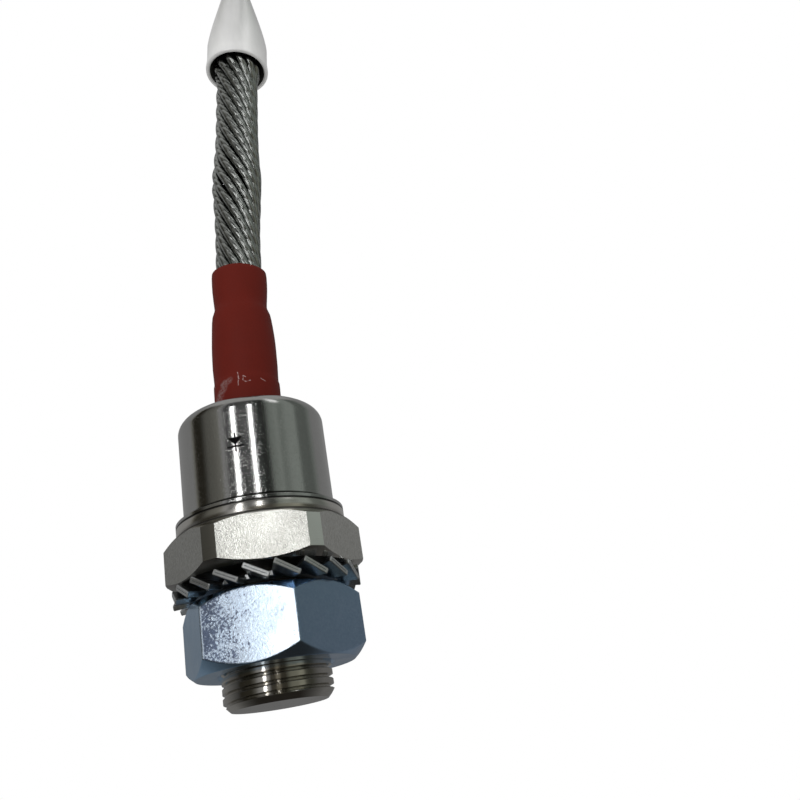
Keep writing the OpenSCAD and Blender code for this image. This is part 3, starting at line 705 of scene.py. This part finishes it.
def addRod(work, radius, length, place):
    bmesh.ops.create_cone(work, cap_ends=True, segments=64, radius1=radius * mm, radius2=radius * mm,
                          depth=length * mm, matrix=place)


def ringFaces(rings, sides, closed=False, capped=False):
    # Faces between rings of vertices: closed joins the last to the first, capped fills both ends
    faces = []
    for j in range(rings if closed else rings - 1):
        here, there = j * sides, (j + 1) % rings * sides
        for i in range(sides):
            after = (i + 1) % sides
            faces.append((here + i, here + after, there + after, there + i))
    if capped:
        last = (rings - 1) * sides
        faces.append(tuple(range(sides)))
        faces.append(tuple(range(last + sides - 1, last - 1, -1)))
    return faces


# Base and stud: the hexagon is the solid's own form, and the stud gets its thread

baseSizes = {"cutZ": -2.0, "neckRadius": 8.35, "neckLength": 1.4, "neckMiddle": -2.2, "merge": 2e-6}
threadSizes = {
    "radius": 9.45, "pitch": 1.5875, "depth": 0.72, "start": -2.4, "end": -21.5, "chamfer": 1.15,
    "runout": 1.2, "phase": -0.25, "sides": 96,
    # One turn of the thread: (share of the pitch, share of the depth)
    "profile": [(0.0, 0), (0.52, 0), (0.6, 0.2), (0.72, 0.93), (0.76, 1), (0.8, 1), (0.84, 0.93),
                (0.96, 0.2)],
}


def threadRadius(z, deep):
    # The thread's radius, held in by the chamfer at the stud's end and the run-out at the neck
    s = threadSizes
    low, high = s["end"], s["start"]
    if z >= high:
        return s["radius"] - s["depth"]
    if z <= low:
        return s["radius"] - s["chamfer"]
    chamfered = s["radius"] - s["chamfer"] + (z - low)
    runningOut = s["radius"] - s["depth"] + (high - z) * s["runout"]
    return min(s["radius"] - deep * s["depth"], chamfered, runningOut)


def threadMesh():
    # Rows follow the helix, so the crests stay crisp, and are held between the two ends
    s = threadSizes
    low, high, pitch, sides = s["end"], s["start"], s["pitch"], s["sides"]
    rows = []
    for turn in range(int((high - low) / pitch) + 3):
        rows += [(low + s["phase"] + (turn - 1.5 + share) * pitch, deep) for share, deep in s["profile"]]
    vertices = []
    for place, deep in rows:
        for i in range(sides):
            z = place + pitch * i / sides
            radius = threadRadius(z, deep)
            angle = 2 * math.pi * i / sides
            x, y = radius * math.cos(angle), radius * math.sin(angle)
            vertices.append((x * mm, y * mm, min(max(z, low), high) * mm))
    per = len(s["profile"])  # rows in one turn
    faces = []
    for j in range(len(rows) - 1):
        here, there = j * sides, (j + 1) * sides
        for i in range(sides - 1):
            faces.append((here + i, here + i + 1, there + i + 1, there + i))
        if j + 1 + per < len(rows):
            faces.append((here + sides - 1, (j + per) * sides, (j + 1 + per) * sides, there + sides - 1))
    return vertices, faces


def fillRims(work):
    bmesh.ops.edgenet_fill(work, edges=[edge for edge in work.edges if edge.is_boundary])


def makeBase():
    s = baseSizes
    mesh = nodes["base_stud"].data.copy()
    mesh.name = "base_and_stud"
    upper = addObject("base_and_stud", mesh)
    mesh.materials.clear()
    mesh.materials.append(finishes["base"])
    if mesh.has_custom_normals:
        with bpy.context.temp_override(object=upper, active_object=upper):
            bpy.ops.mesh.customdata_custom_splitnormals_clear()
    work = bmesh.new()
    work.from_mesh(mesh)
    bmesh.ops.remove_doubles(work, verts=work.verts, dist=s["merge"])
    everything = list(work.verts) + list(work.edges) + list(work.faces)
    cut = (0, 0, s["cutZ"] * mm)
    bmesh.ops.bisect_plane(work, geom=everything, plane_co=cut, plane_no=(0, 0, 1), clear_inner=True)
    fillRims(work)
    work.to_mesh(mesh)
    work.free()
    stud = newPiece("stud_thread", *threadMesh(), "base")
    work = bmesh.new()
    work.from_mesh(stud.data)
    bmesh.ops.remove_doubles(work, verts=work.verts, dist=1e-6)
    bmesh.ops.dissolve_degenerate(work, edges=work.edges, dist=1e-6)
    fillRims(work)
    # A plain neck joins the thread to the base
    addRod(work, s["neckRadius"], s["neckLength"], Matrix.Translation((0, 0, s["neckMiddle"] * mm)))
    work.to_mesh(stud.data)
    work.free()
    both = [upper, stud]
    with bpy.context.temp_override(active_object=upper, selected_editable_objects=both, object=upper):
        bpy.ops.object.join()
    tidyMesh(upper, 18)
    return upper


baseStud = makeBase()
print("base and threaded stud made")


# Geometry Nodes helpers

def endTree(tree, geometry, material):
    # Set Material and the group's output
    paint = addNode(tree, "GeometryNodeSetMaterial", {"Geometry": geometry, "Material": material})
    addNode(tree, "NodeGroupOutput", {"Geometry": paint.outputs["Geometry"]})
    return tree


def realize(tree, geometry):
    return addNode(tree, "GeometryNodeRealizeInstances", {"Geometry": geometry}).outputs["Geometry"]


def keepValue(geometry, kind, name, value):
    # Captures a value on each point: the geometry and the kept value
    node = addNode(geometry.id_data, "GeometryNodeCaptureAttribute", {"Geometry": geometry}, domain="POINT")
    node.capture_items.new(kind, name)
    geometry.id_data.links.new(value, node.inputs[name])
    return node.outputs["Geometry"], node.outputs[name]


def bakedMesh(source):
    bpy.context.view_layer.update()
    mesh = bpy.data.meshes.new_from_object(source.evaluated_get(bpy.context.evaluated_depsgraph_get()))
    source.modifiers.clear()
    return mesh


def bakeTree(source, tree, inputs, name):
    # Runs a Geometry Nodes tree on source and keeps the result as a plain mesh
    modifier = source.modifiers.new("build", "NODES")
    modifier.node_group = tree
    for item in tree.interface.items_tree:
        if item.item_type == "SOCKET" and item.in_out == "INPUT" and item.name in inputs:
            modifier[item.identifier] = inputs[item.name]
    mesh = bakedMesh(source)
    mesh.name = name
    bpy.data.objects.remove(source)
    return addObject(name, mesh)


# Lead: twelve strands with the solid's lay and loose place

def makeRopeTree():
    # Each edge path becomes a round strand, and keeps its place round and along for the wires' pattern
    inputs = [("Geometry", "Geometry", None), ("Strand Radius", "Float", 0.0009), ("Sides", "Int", 16),
              ("Material", "Material", None)]
    tree, given = newGroup("ropeStrands", "GeometryNodeTree", inputs, ("Geometry", "Geometry"))
    path = addNode(tree, "GeometryNodeMeshToCurve", {"Mesh": given["Geometry"]}).outputs["Curve"]
    length = addNode(tree, "GeometryNodeSplineParameter").outputs["Length"]
    path, along = keepValue(path, "FLOAT", "length", length)
    circle = addNode(tree, "GeometryNodeCurvePrimitiveCircle", {
        "Resolution": given["Sides"], "Radius": given["Strand Radius"]}).outputs["Curve"]
    spot = addNode(tree, "GeometryNodeInputPosition").outputs[0]
    circle, spot = keepValue(circle, "VECTOR", "spot", spot)
    strand = addNode(tree, "GeometryNodeCurveToMesh", {
        "Curve": path, "Profile Curve": circle, "Fill Caps": True}).outputs["Mesh"]
    x, y, _ = apart(spot)
    stored = addNode(tree, "GeometryNodeStoreNamedAttribute", {
        "Geometry": strand, "Name": "wirePlace", "Value": together(x, y, along)},
        data_type="FLOAT_VECTOR", domain="POINT").outputs["Geometry"]
    smooth = addNode(tree, "GeometryNodeSetShadeSmooth", {"Geometry": stored}).outputs["Geometry"]
    return endTree(tree, realize(tree, smooth), given["Material"])


def makeLead():
    s = leadSizes
    dip = s["strand"] * math.sin(math.radians(s["layAngle"]))
    low = s["bottom"] + dip
    high = s["mouthZ"] + s["depthInLug"] - dip
    lay = 2 * math.pi * s["layer"] / math.tan(math.radians(s["layAngle"]))
    steps = int((high - low) / s["step"])
    chance = random.Random(7)
    vertices, edges = [], []
    for strand in range(s["count"]):
        phase = 2 * math.pi * strand / s["count"]
        offset = chance.uniform(0, 6.28)
        first = len(vertices)
        for j in range(steps + 1):
            z = low + (high - low) * j / steps
            turn = phase - 2 * math.pi * (z - s["bottom"]) / lay
            turn += s["sway"] * looseness(z) * math.sin(s["swayWaves"] * z + offset)
            radius = strandLine(z, math.sin(s["swellWaves"] * z + offset))
            vertices.append(tuple(leadPoint(z, radius, turn)))
        edges += [(first + j, first + j + 1) for j in range(steps)]
    mesh = bpy.data.meshes.new("strand_paths")
    mesh.from_pydata(vertices, edges, [])
    inputs = {"Strand Radius": s["strand"] * mm, "Sides": s["sides"], "Material": finishes["lead"]}
    rope = bakeTree(addObject("strand_paths", mesh), makeRopeTree(), inputs, "lead_outer_strands")
    # How far each point stands out from its strand's own line: 1 at the crest, 0 where the strands meet
    outness = rope.data.attributes.new("outness", "FLOAT", "POINT")
    for vertex in rope.data.vertices:
        x, y, z = [part / mm for part in vertex.co]
        middle, slope = leadRoute(z)
        radius = math.hypot((x - middle) / math.hypot(1, slope), y)
        outness.data[vertex.index].value = (radius - strandLine(z)) / s["strand"]
    return rope


leadStrands = makeLead()
print("lead strands made:", len(leadStrands.data.polygons), "faces")


# Sleeve: shrunk over the tube and the lead, with the band, neck and bulges of the photo

sleeveSizes = {
    # (height, radius) from the foot up, and down again inside
    "outline": [
        (31.56, 6.0), (31.75, 6.22), (32.2, 6.34), (34, 6.36), (37.6, 6.37), (38.3, 6.35), (38.7, 6.22),
        (39.3, 6.2), (40.5, 6.25), (42.5, 6.34), (45.5, 6.35), (47.5, 6.32), (49.5, 6.23), (51.3, 6.12),
        (52.8, 6.0), (53.8, 5.86), (54.5, 5.62), (55.2, 5.38), (55.85, 5.29), (56.8, 5.34), (58.2, 5.46),
        (60, 5.57), (61.5, 5.61), (63.2, 5.6), (64.1, 5.53), (64.45, 5.38)],
    "bore": [(64.5, 5.05), (64.1, 4.87), (62, 4.84), (57, 4.84), (55.6, 4.85), (54.0, 5.42), (45, 5.44),
             (37, 5.45), (36.4, 5.58), (33, 5.58), (31.8, 5.6), (31.56, 5.75)],
    "sides": 72, "step": 0.6, "slant": 0.9, "ripple": 0.1, "slantFrom": 58.0,
    # The wall's unevenness: (waves round, waves per millimetre up, start, size)
    "uneven": [(2, 0.21, 0, 0.035), (3, -0.5, 1, 0.02)],
}


def makeSleeve():
    s = sleeveSizes
    outline, sides = s["outline"], s["sides"]
    profile = []
    for (z0, r0), (z1, r1) in zip(outline, outline[1:]):
        count = max(1, int((z1 - z0) / s["step"]))
        profile += [(z0 + (z1 - z0) * k / count, r0 + (r1 - r0) * k / count, 1) for k in range(count)]
    top = outline[-1][0]
    profile.append((*outline[-1], 1))
    profile += [(z, r, 0) for z, r in s["bore"]]
    vertices = []
    for z, radius, outer in profile:
        # The top is cut slightly aslant, lower on the camera's side
        share = min(max((z - s["slantFrom"]) / (top - s["slantFrom"]), 0), 1)
        for i in range(sides):
            angle = 2 * math.pi * i / sides
            swell = sum(size * math.sin(waves * angle + climb * z + start)
                        for waves, climb, start, size in s["uneven"])
            lift = (s["slant"] * math.sin(angle) + s["ripple"] * math.sin(3 * angle)) * share * share
            vertices.append(leadPoint(z + lift, radius + outer * swell, angle))
    piece = newPiece("shrunk_sleeve", vertices, ringFaces(len(profile), sides, closed=True), "sleeve")
    tidyMesh(piece, 60)
    return piece


sleeve = makeSleeve()
print("sleeve made")


# Lug: a tube flared at its mouth and flattened into the palm

lugSizes = {
    "palmHalf": (1.9, 8.75), "edgeRadius": 0.7, "flatEnd": 21.5, "end": 38.0, "cornerRadius": 3.5,
    "holeZ": 29.0, "holeRadius": 4.35, "drill": 20.0, "sides": 24, "pressSteps": 16, "palmSteps": 3,
    "cornerSteps": (12, 24, 36, 48, 60, 72, 82),
    # The bore and the flared mouth, from the bore's bottom round the lip to the barrel: (height, radius)
    "mouth": [(9.0, 4.9), (2.6, 4.9), (1.7, 5.25), (0.8, 5.8), (0.25, 6.2), (0.02, 6.5), (0.02, 6.9),
              (0.18, 7.1), (0.6, 7.13), (1.6, 7.02), (2.6, 6.92), (3.4, 6.9), (7.0, 6.9)],
    # The palm's end, rounded off: (back from the end, less thick, less wide, less edge)
    "tip": [(0.01, 0.1, 0.0, 0.15), (0.0, 0.45, 0.3, 0.4)],
}


def roundedLoop(z, thin, wide, corner):
    # A rectangle of the given half sizes with round corners, four quarter arcs of equal point counts
    sides = lugSizes["sides"]
    points = []
    for quarter, (signX, signY) in enumerate(((1, 1), (-1, 1), (-1, -1), (1, -1))):
        for i in range(sides):
            angle = math.pi / 2 * (quarter + i / (sides - 1))
            x = math.copysign(thin - corner, signX) + corner * math.cos(angle)
            y = math.copysign(wide - corner, signY) + corner * math.sin(angle)
            points.append(Vector((x, y, z)) * mm)
    return points


def lugRings():
    # Rings from the bore's bottom round the lip, up the barrel, through the pressed part and over the palm
    s = lugSizes
    (thin, wide), edge, corner = s["palmHalf"], s["edgeRadius"], s["cornerRadius"]
    flatEnd, cornerFrom = s["flatEnd"], s["end"] - corner
    barrelEnd, barrel = s["mouth"][-1]
    rings = [roundedLoop(z, r, r, r) for z, r in s["mouth"]]
    for k in range(1, s["pressSteps"] + 1):
        t = k / s["pressSteps"]
        ease = 0.4 * t + 0.6 * t * t * (3 - 2 * t)
        pressed = [barrel + (size - barrel) * ease for size in (thin, wide, edge)]
        rings.append(roundedLoop(barrelEnd + (flatEnd - barrelEnd) * t, *pressed))
    for k in range(1, s["palmSteps"] + 1):
        rings.append(roundedLoop(flatEnd + (cornerFrom - flatEnd) * k / s["palmSteps"], thin, wide, edge))
    for degrees in s["cornerSteps"]:
        angle = math.radians(degrees)
        half = wide - corner * (1 - math.cos(angle))
        rings.append(roundedLoop(cornerFrom + corner * math.sin(angle), thin, half, edge))
    for back, thinner, narrower, sharper in s["tip"]:
        half = wide - corner - narrower
        rings.append(roundedLoop(s["end"] - back, thin - thinner, half, edge - sharper))
    return rings


def makeLug():
    s = lugSizes
    rings = lugRings()
    faces = ringFaces(len(rings), len(rings[0]), capped=True)
    lug = newPiece("tube_lug", [point for ring in rings for point in ring], faces, "lug")
    tidyMesh(lug, 40, 1e-7)
    work = bmesh.new()
    across = Matrix.Translation((0, 0, s["holeZ"] * mm)) @ Matrix.Rotation(math.pi / 2, 4, "Y")
    addRod(work, s["holeRadius"], s["drill"], across)
    cutter = addObject("drill", meshFrom(work, "drill"))
    hole = lug.modifiers.new("hole", "BOOLEAN")
    hole.operation = "DIFFERENCE"
    hole.solver = "EXACT"
    hole.object = cutter
    lug.data = bakedMesh(lug)
    lug.data.name = "tube_lug"
    bpy.data.objects.remove(cutter)
    mouth, axis = lugAxis()
    turn = Matrix.Rotation(math.atan2(axis.x, axis.z), 4, "Y")
    lug.data.transform(Matrix.Translation(mouth) @ turn)
    tidyMesh(lug, 35, 1e-7)
    return lug


lug = makeLug()
print("lug made:", len(lug.data.polygons), "faces")


# Lock washer: a flat ring with twisted teeth set round it

washerSizes = {"teeth": 20, "twist": 29.0, "turn": -5.75, "mid": -1.651, "thick": 1.0, "inner": 9.85,
               "ring": 12.5, "outer": 16.6, "rootWidth": 3.2, "tipWidth": 4.8, "round": 0.14, "sides": 96}


def chamferedSection(left, right, thick, soft):
    # Eight corners, with small chamfers that catch the light
    deep = thick / 2
    return [(left + soft, -deep), (right - soft, -deep), (right, -deep + soft), (right, deep - soft),
            (right - soft, deep), (left + soft, deep), (left, deep - soft), (left, -deep + soft)]


def barSection(x, width, thick, turn, soft):
    c, q = math.cos(math.radians(turn)), math.sin(math.radians(turn))
    section = chamferedSection(-width / 2, width / 2, thick, soft)
    return [Vector((x, u * c + v * q, -u * q + v * c)) * mm for u, v in section]


def makeTooth():
    s = washerSizes
    ring, root, tipWidth = s["ring"], s["rootWidth"], s["tipWidth"]
    thick, twist = s["thick"], s["twist"]
    tip = math.sqrt(s["outer"] ** 2 - (tipWidth / 2 * math.cos(math.radians(twist))) ** 2)
    stations = [  # (place, width, thickness, turn)
        (ring - 0.6, root, thick - 0.1, 0.0),
        (ring - 0.1, root, thick - 0.1, 2.0),
        (ring + 0.25, root + 0.3, thick - 0.06, twist * 0.45),
        (ring + 0.6, root + 0.5, thick - 0.05, twist * 0.85),
        (ring + 1.4, root + 0.8, thick - 0.03, twist * 0.97),
        (tip - 0.12, tipWidth, thick, twist),
        (tip, tipWidth - 0.24, thick - 0.2, twist),
        (tip, tipWidth - 0.8, 0.13, twist),
        (tip - 0.15, tipWidth - 0.9, 0.04, twist),
    ]
    vertices = []
    for x, width, deep, turn in stations:
        vertices += barSection(x, width, deep, turn, min(s["round"], deep / 3))
    tooth = newPiece("washer_tooth", vertices, ringFaces(len(stations), 8, capped=True), "washer")
    tidyMesh(tooth, 30)
    return tooth


def makeWasherTree():
    # Teeth on a circle, joined with the ring that they grow out of
    inputs = [("Geometry", "Geometry", None), ("Tooth", "Object", None), ("Count", "Int", 20),
              ("Material", "Material", None)]
    tree, given = newGroup("washerTeeth", "GeometryNodeTree", inputs, ("Geometry", "Geometry"))
    spots = addNode(tree, "GeometryNodePoints", {"Count": given["Count"]}).outputs[0]
    index = addNode(tree, "GeometryNodeInputIndex").outputs[0]
    angle = times(divided(index, given["Count"]), 2 * math.pi)
    tooth = addNode(tree, "GeometryNodeObjectInfo", {"Object": given["Tooth"]}, transform_space="ORIGINAL")
    teeth = addNode(tree, "GeometryNodeInstanceOnPoints", {
        "Points": spots, "Instance": tooth.outputs["Geometry"], "Rotation": together(None, None, angle)})
    join = addNode(tree, "GeometryNodeJoinGeometry", {"Geometry": given["Geometry"]})
    tree.links.new(realize(tree, teeth.outputs["Instances"]), join.inputs["Geometry"])
    return endTree(tree, join.outputs["Geometry"], given["Material"])


def makeWasher():
    s = washerSizes
    section = chamferedSection(s["inner"], s["ring"], s["thick"], s["round"])
    sides = s["sides"]
    vertices = []
    for i in range(sides):
        angle = 2 * math.pi * i / sides
        vertices += [Vector((r * math.cos(angle), r * math.sin(angle), z)) * mm for r, z in section]
    ring = newPiece("washer_ring", vertices, ringFaces(sides, len(section), closed=True), "washer")
    tidyMesh(ring, 30)
    tooth = makeTooth()
    inputs = {"Tooth": tooth, "Count": s["teeth"], "Material": finishes["washer"]}
    washer = bakeTree(ring, makeWasherTree(), inputs, "toothed_washer")
    bpy.data.objects.remove(tooth)
    turn = Matrix.Rotation(math.radians(s["turn"]), 4, "Z")
    washer.data.transform(Matrix.Translation((0, 0, s["mid"] * mm)) @ turn)
    return washer


washer = makeWasher()
print("lock washer made")


# What each new piece stands for

dressed = [
    (baseStud, "base_stud", "plated_base"),
    (leadStrands, "lead_strands", "lead_wire"),
    (sleeve, "red_sleeve", "red_rubber"),
    (lug, "lug", "tinned_copper"),
    (washer, "lock_washer", "washer_steel"),
]
for piece, nodeName, slotName in dressed:
    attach(piece, "root")
    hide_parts(nodeName)
print("pieces tied to the frame")


# Light: a white world, two tall soft strips, and a grey studio wall that only the metal's gloss sees

studio = {
    "worldLight": 0.62,
    "wallRadius": 1.6,
    "tints": {"plain": (1, 1, 1), "olive": (1.1, 1.0, 0.75), "warm": (1.02, 1.0, 0.89),
              "green": (0.94, 1.03, 0.95), "moss": (1.0, 1.01, 0.83)},
    # The wall's upper part, as (angle, brightness, tint): 0 is towards the camera, and + to its right
    "upperBands": [
        (-180, 0.25), (-108, 0.25), (-103, 0.20, "warm"), (-99, 0.05, "olive"), (-95, 0.022, "olive"),
        (-84, 0.024, "olive"), (-79, 0.06, "warm"), (-73, 0.115, "warm"), (-62, 0.135, "warm"),
        (-52, 0.19, "warm"), (-48, 0.31), (-43, 0.26), (-39, 0.08), (-20, 0.078), (-6, 0.085),
        (9, 0.06, "green"), (14, 0.034, "green"), (22, 0.034, "green"), (28, 0.22, "green"),
        (36, 0.25, "green"), (40, 0.29, "green"), (44, 0.21, "green"), (50, 0.21, "green"),
        (56, 0.27, "green"), (72, 0.28, "green"), (77, 0.14, "green"), (96, 0.128, "green"),
        (103, 0.195, "green"), (111, 0.235), (132, 0.245), (150, 0.26), (180, 0.25),
    ],
    # The same for the lower part, near the horizon
    "lowerBands": [
        (-180, 0.14), (-165, 0.17), (-150, 0.21), (-128, 0.19), (-112, 0.145), (-90, 0.07),
        (-82, 0.025, "olive"), (-56, 0.03, "olive"), (-47, 0.1, "warm"), (-38, 0.3), (-18, 0.3),
        (-14, 0.045, "olive"), (-4, 0.05, "olive"), (-2, 0.16, "olive"), (4, 0.16, "olive"),
        (7, 0.04, "olive"), (17, 0.038, "olive"), (22, 0.11, "moss"), (28, 0.19, "moss"),
        (41, 0.21, "moss"), (47, 0.28, "moss"), (54, 0.27, "moss"), (60, 0.09, "moss"),
        (68, 0.05, "moss"), (76, 0.06, "moss"), (92, 0.13), (110, 0.17), (140, 0.17), (180, 0.15),
    ],
    # Heights as a share of the wall's radius: the lower part goes over into the upper, and both into the ends
    "blend": (0.16, 0.24),
    "overhead": {"from": (0.8, 0.9), "level": 0.4, "tint": (1.0, 1.0, 0.98)},
    "below": {"from": (-0.92, -0.55), "level": 0.024, "tint": (1.0, 0.9, 0.78)},
    # A soft glow high on the right, which the lead's wires catch
    "glow": {"angle": 0.75, "rise": 0.72, "reach": (0.096, 0.24), "level": 1.15},
    "strips": [
        {"name": "left_strip", "angle": -26.2, "distance": 0.9, "middle": 0.2, "size": (0.072, 0.66),
         "power": 0.85},
        {"name": "front_strip", "angle": 0.8, "distance": 0.9, "middle": 0.34, "size": (0.054, 0.38),
         "power": 0.42},
    ],
    "fill": {"place": (-0.35, -0.5, 0.7), "target": (0, 0, 0.05), "size": (0.7, 0.7), "power": 2.2},
}
floorSizes = {"z": -21.52 * mm, "radius": 0.55, "fade": (0.3, 0.5225), "colour": (0.86, 0.86, 0.85, 1)}


def makeWorld():
    # Plain light on the object, and white where the camera, gloss or glass looks past it
    world = bpy.data.worlds.new("studioWorld")
    scene.world = world
    world.use_nodes = True
    tree = world.node_tree
    tree.nodes.clear()
    soft, white = [addNode(tree, "ShaderNodeBackground", {0: (1, 1, 1, 1), 1: strength}).outputs[0]
                   for strength in (studio["worldLight"], 1.0)]
    ray = addNode(tree, "ShaderNodeLightPath").outputs
    seen = larger(larger(ray["Is Camera Ray"], ray["Is Glossy Ray"]), ray["Is Transmission Ray"])
    mix = addNode(tree, "ShaderNodeMixShader", {0: seen, 1: soft, 2: white})
    addNode(tree, "ShaderNodeOutputWorld", {0: mix.outputs[0]})


def bandRamp(share, bands):
    ramp = addNode(share.id_data, "ShaderNodeValToRGB", {0: share})
    stops = ramp.color_ramp.elements
    while len(stops) < len(bands):
        stops.new(0.5)
    for stop, (degrees, level, *tint) in zip(stops, bands):
        stop.position = (degrees + 180) / 360
        stop.color = (*[level * part for part in studio["tints"][tint[0] if tint else "plain"]], 1)
    return ramp.outputs[0]


def makeWallMaterial():
    material, tree, place = newMaterial("studioWall")
    x, y, z = apart(place)
    angle = direction(x, times(y, -1.0))
    rise = divided(z, studio["wallRadius"])
    share = spread(angle, -math.pi, math.pi)
    lower, upper = bandRamp(share, studio["lowerBands"]), bandRamp(share, studio["upperBands"])
    walls = mixColour(spread(rise, *studio["blend"]), lower, upper)
    for part, ends in (("overhead", (0.0, 1.0)), ("below", (1.0, 0.0))):
        end = studio[part]
        colour = tuple(end["level"] * tint for tint in end["tint"])
        walls = mixColour(spread(rise, *end["from"], *ends), walls, colour)
    glow = studio["glow"]
    aside, above = minus(angle, glow["angle"]), minus(rise, glow["rise"])
    away = squareRoot(plus(times(aside, aside), times(above, above)))
    lit = spread(away, *glow["reach"], 1.0, 0.0, smooth=True)
    walls = mixColour(lit, walls, (glow["level"], glow["level"], glow["level"]))
    shine = addNode(tree, "ShaderNodeEmission", {0: walls})
    addNode(tree, "ShaderNodeOutputMaterial", {0: shine.outputs[0]})
    material.cycles.emission_sampling = "NONE"
    return material


def makeWall():
    work = bmesh.new()
    bmesh.ops.create_uvsphere(work, u_segments=96, v_segments=48, radius=studio["wallRadius"])
    bmesh.ops.reverse_faces(work, faces=work.faces)
    mesh = meshFrom(work, "studio_wall")
    mesh.materials.append(makeWallMaterial())
    wall = addObject("studio_wall", mesh)
    for kind in ("camera", "diffuse", "shadow", "transmission", "volume_scatter"):
        setattr(wall, "visible_" + kind, False)


def makeFloorMaterial():
    # Pale from above, clear from below, and fading out into the white
    material, tree, place = newMaterial("paleFloor")
    inputs = {"Base Color": floorSizes["colour"], "Roughness": 0.8, "Specular IOR Level": 0.1}
    pale = addNode(tree, "ShaderNodeBsdfPrincipled", inputs).outputs[0]
    clear = addNode(tree, "ShaderNodeBsdfTransparent").outputs[0]
    reach = vectorNode("LENGTH", vectorNode("MULTIPLY", place, (1, 1, 0)))
    fade = spread(reach, *floorSizes["fade"], smooth=True)
    gone = larger(fade, addNode(tree, "ShaderNodeNewGeometry").outputs["Backfacing"])
    mix = addNode(tree, "ShaderNodeMixShader", {0: gone, 1: pale, 2: clear})
    addNode(tree, "ShaderNodeOutputMaterial", {0: mix.outputs[0]})
    return material


def makeFloor():
    work = bmesh.new()
    level = Matrix.Translation((0, 0, floorSizes["z"]))
    bmesh.ops.create_circle(work, cap_ends=True, segments=96, radius=floorSizes["radius"], matrix=level)
    mesh = meshFrom(work, "studio_floor")
    mesh.materials.append(makeFloorMaterial())
    floor = addObject("studio_floor", mesh)
    floor.visible_glossy = False


def addLamp(name, place, target, size, power):
    # A soft rectangular lamp at place, which looks at target
    light = bpy.data.lights.new(name, "AREA")
    light.shape = "RECTANGLE"
    light.size, light.size_y = size
    light.energy = power
    holder = addObject(name, light)
    holder.location = place
    holder.rotation_euler = (Vector(target) - Vector(place)).to_track_quat("-Z", "Y").to_euler()
    return holder


def addStrip(strip):
    turn, distance, middle = math.radians(strip["angle"]), strip["distance"], strip["middle"]
    place = (distance * math.sin(turn), -distance * math.cos(turn), middle)
    addLamp(strip["name"], place, (0, 0, middle), strip["size"], strip["power"])


makeWorld()
makeWall()
makeFloor()
for strip in studio["strips"]:
    addStrip(strip)
fill = addLamp("soft_fill", **studio["fill"])
fill.visible_glossy = False
print("studio made")
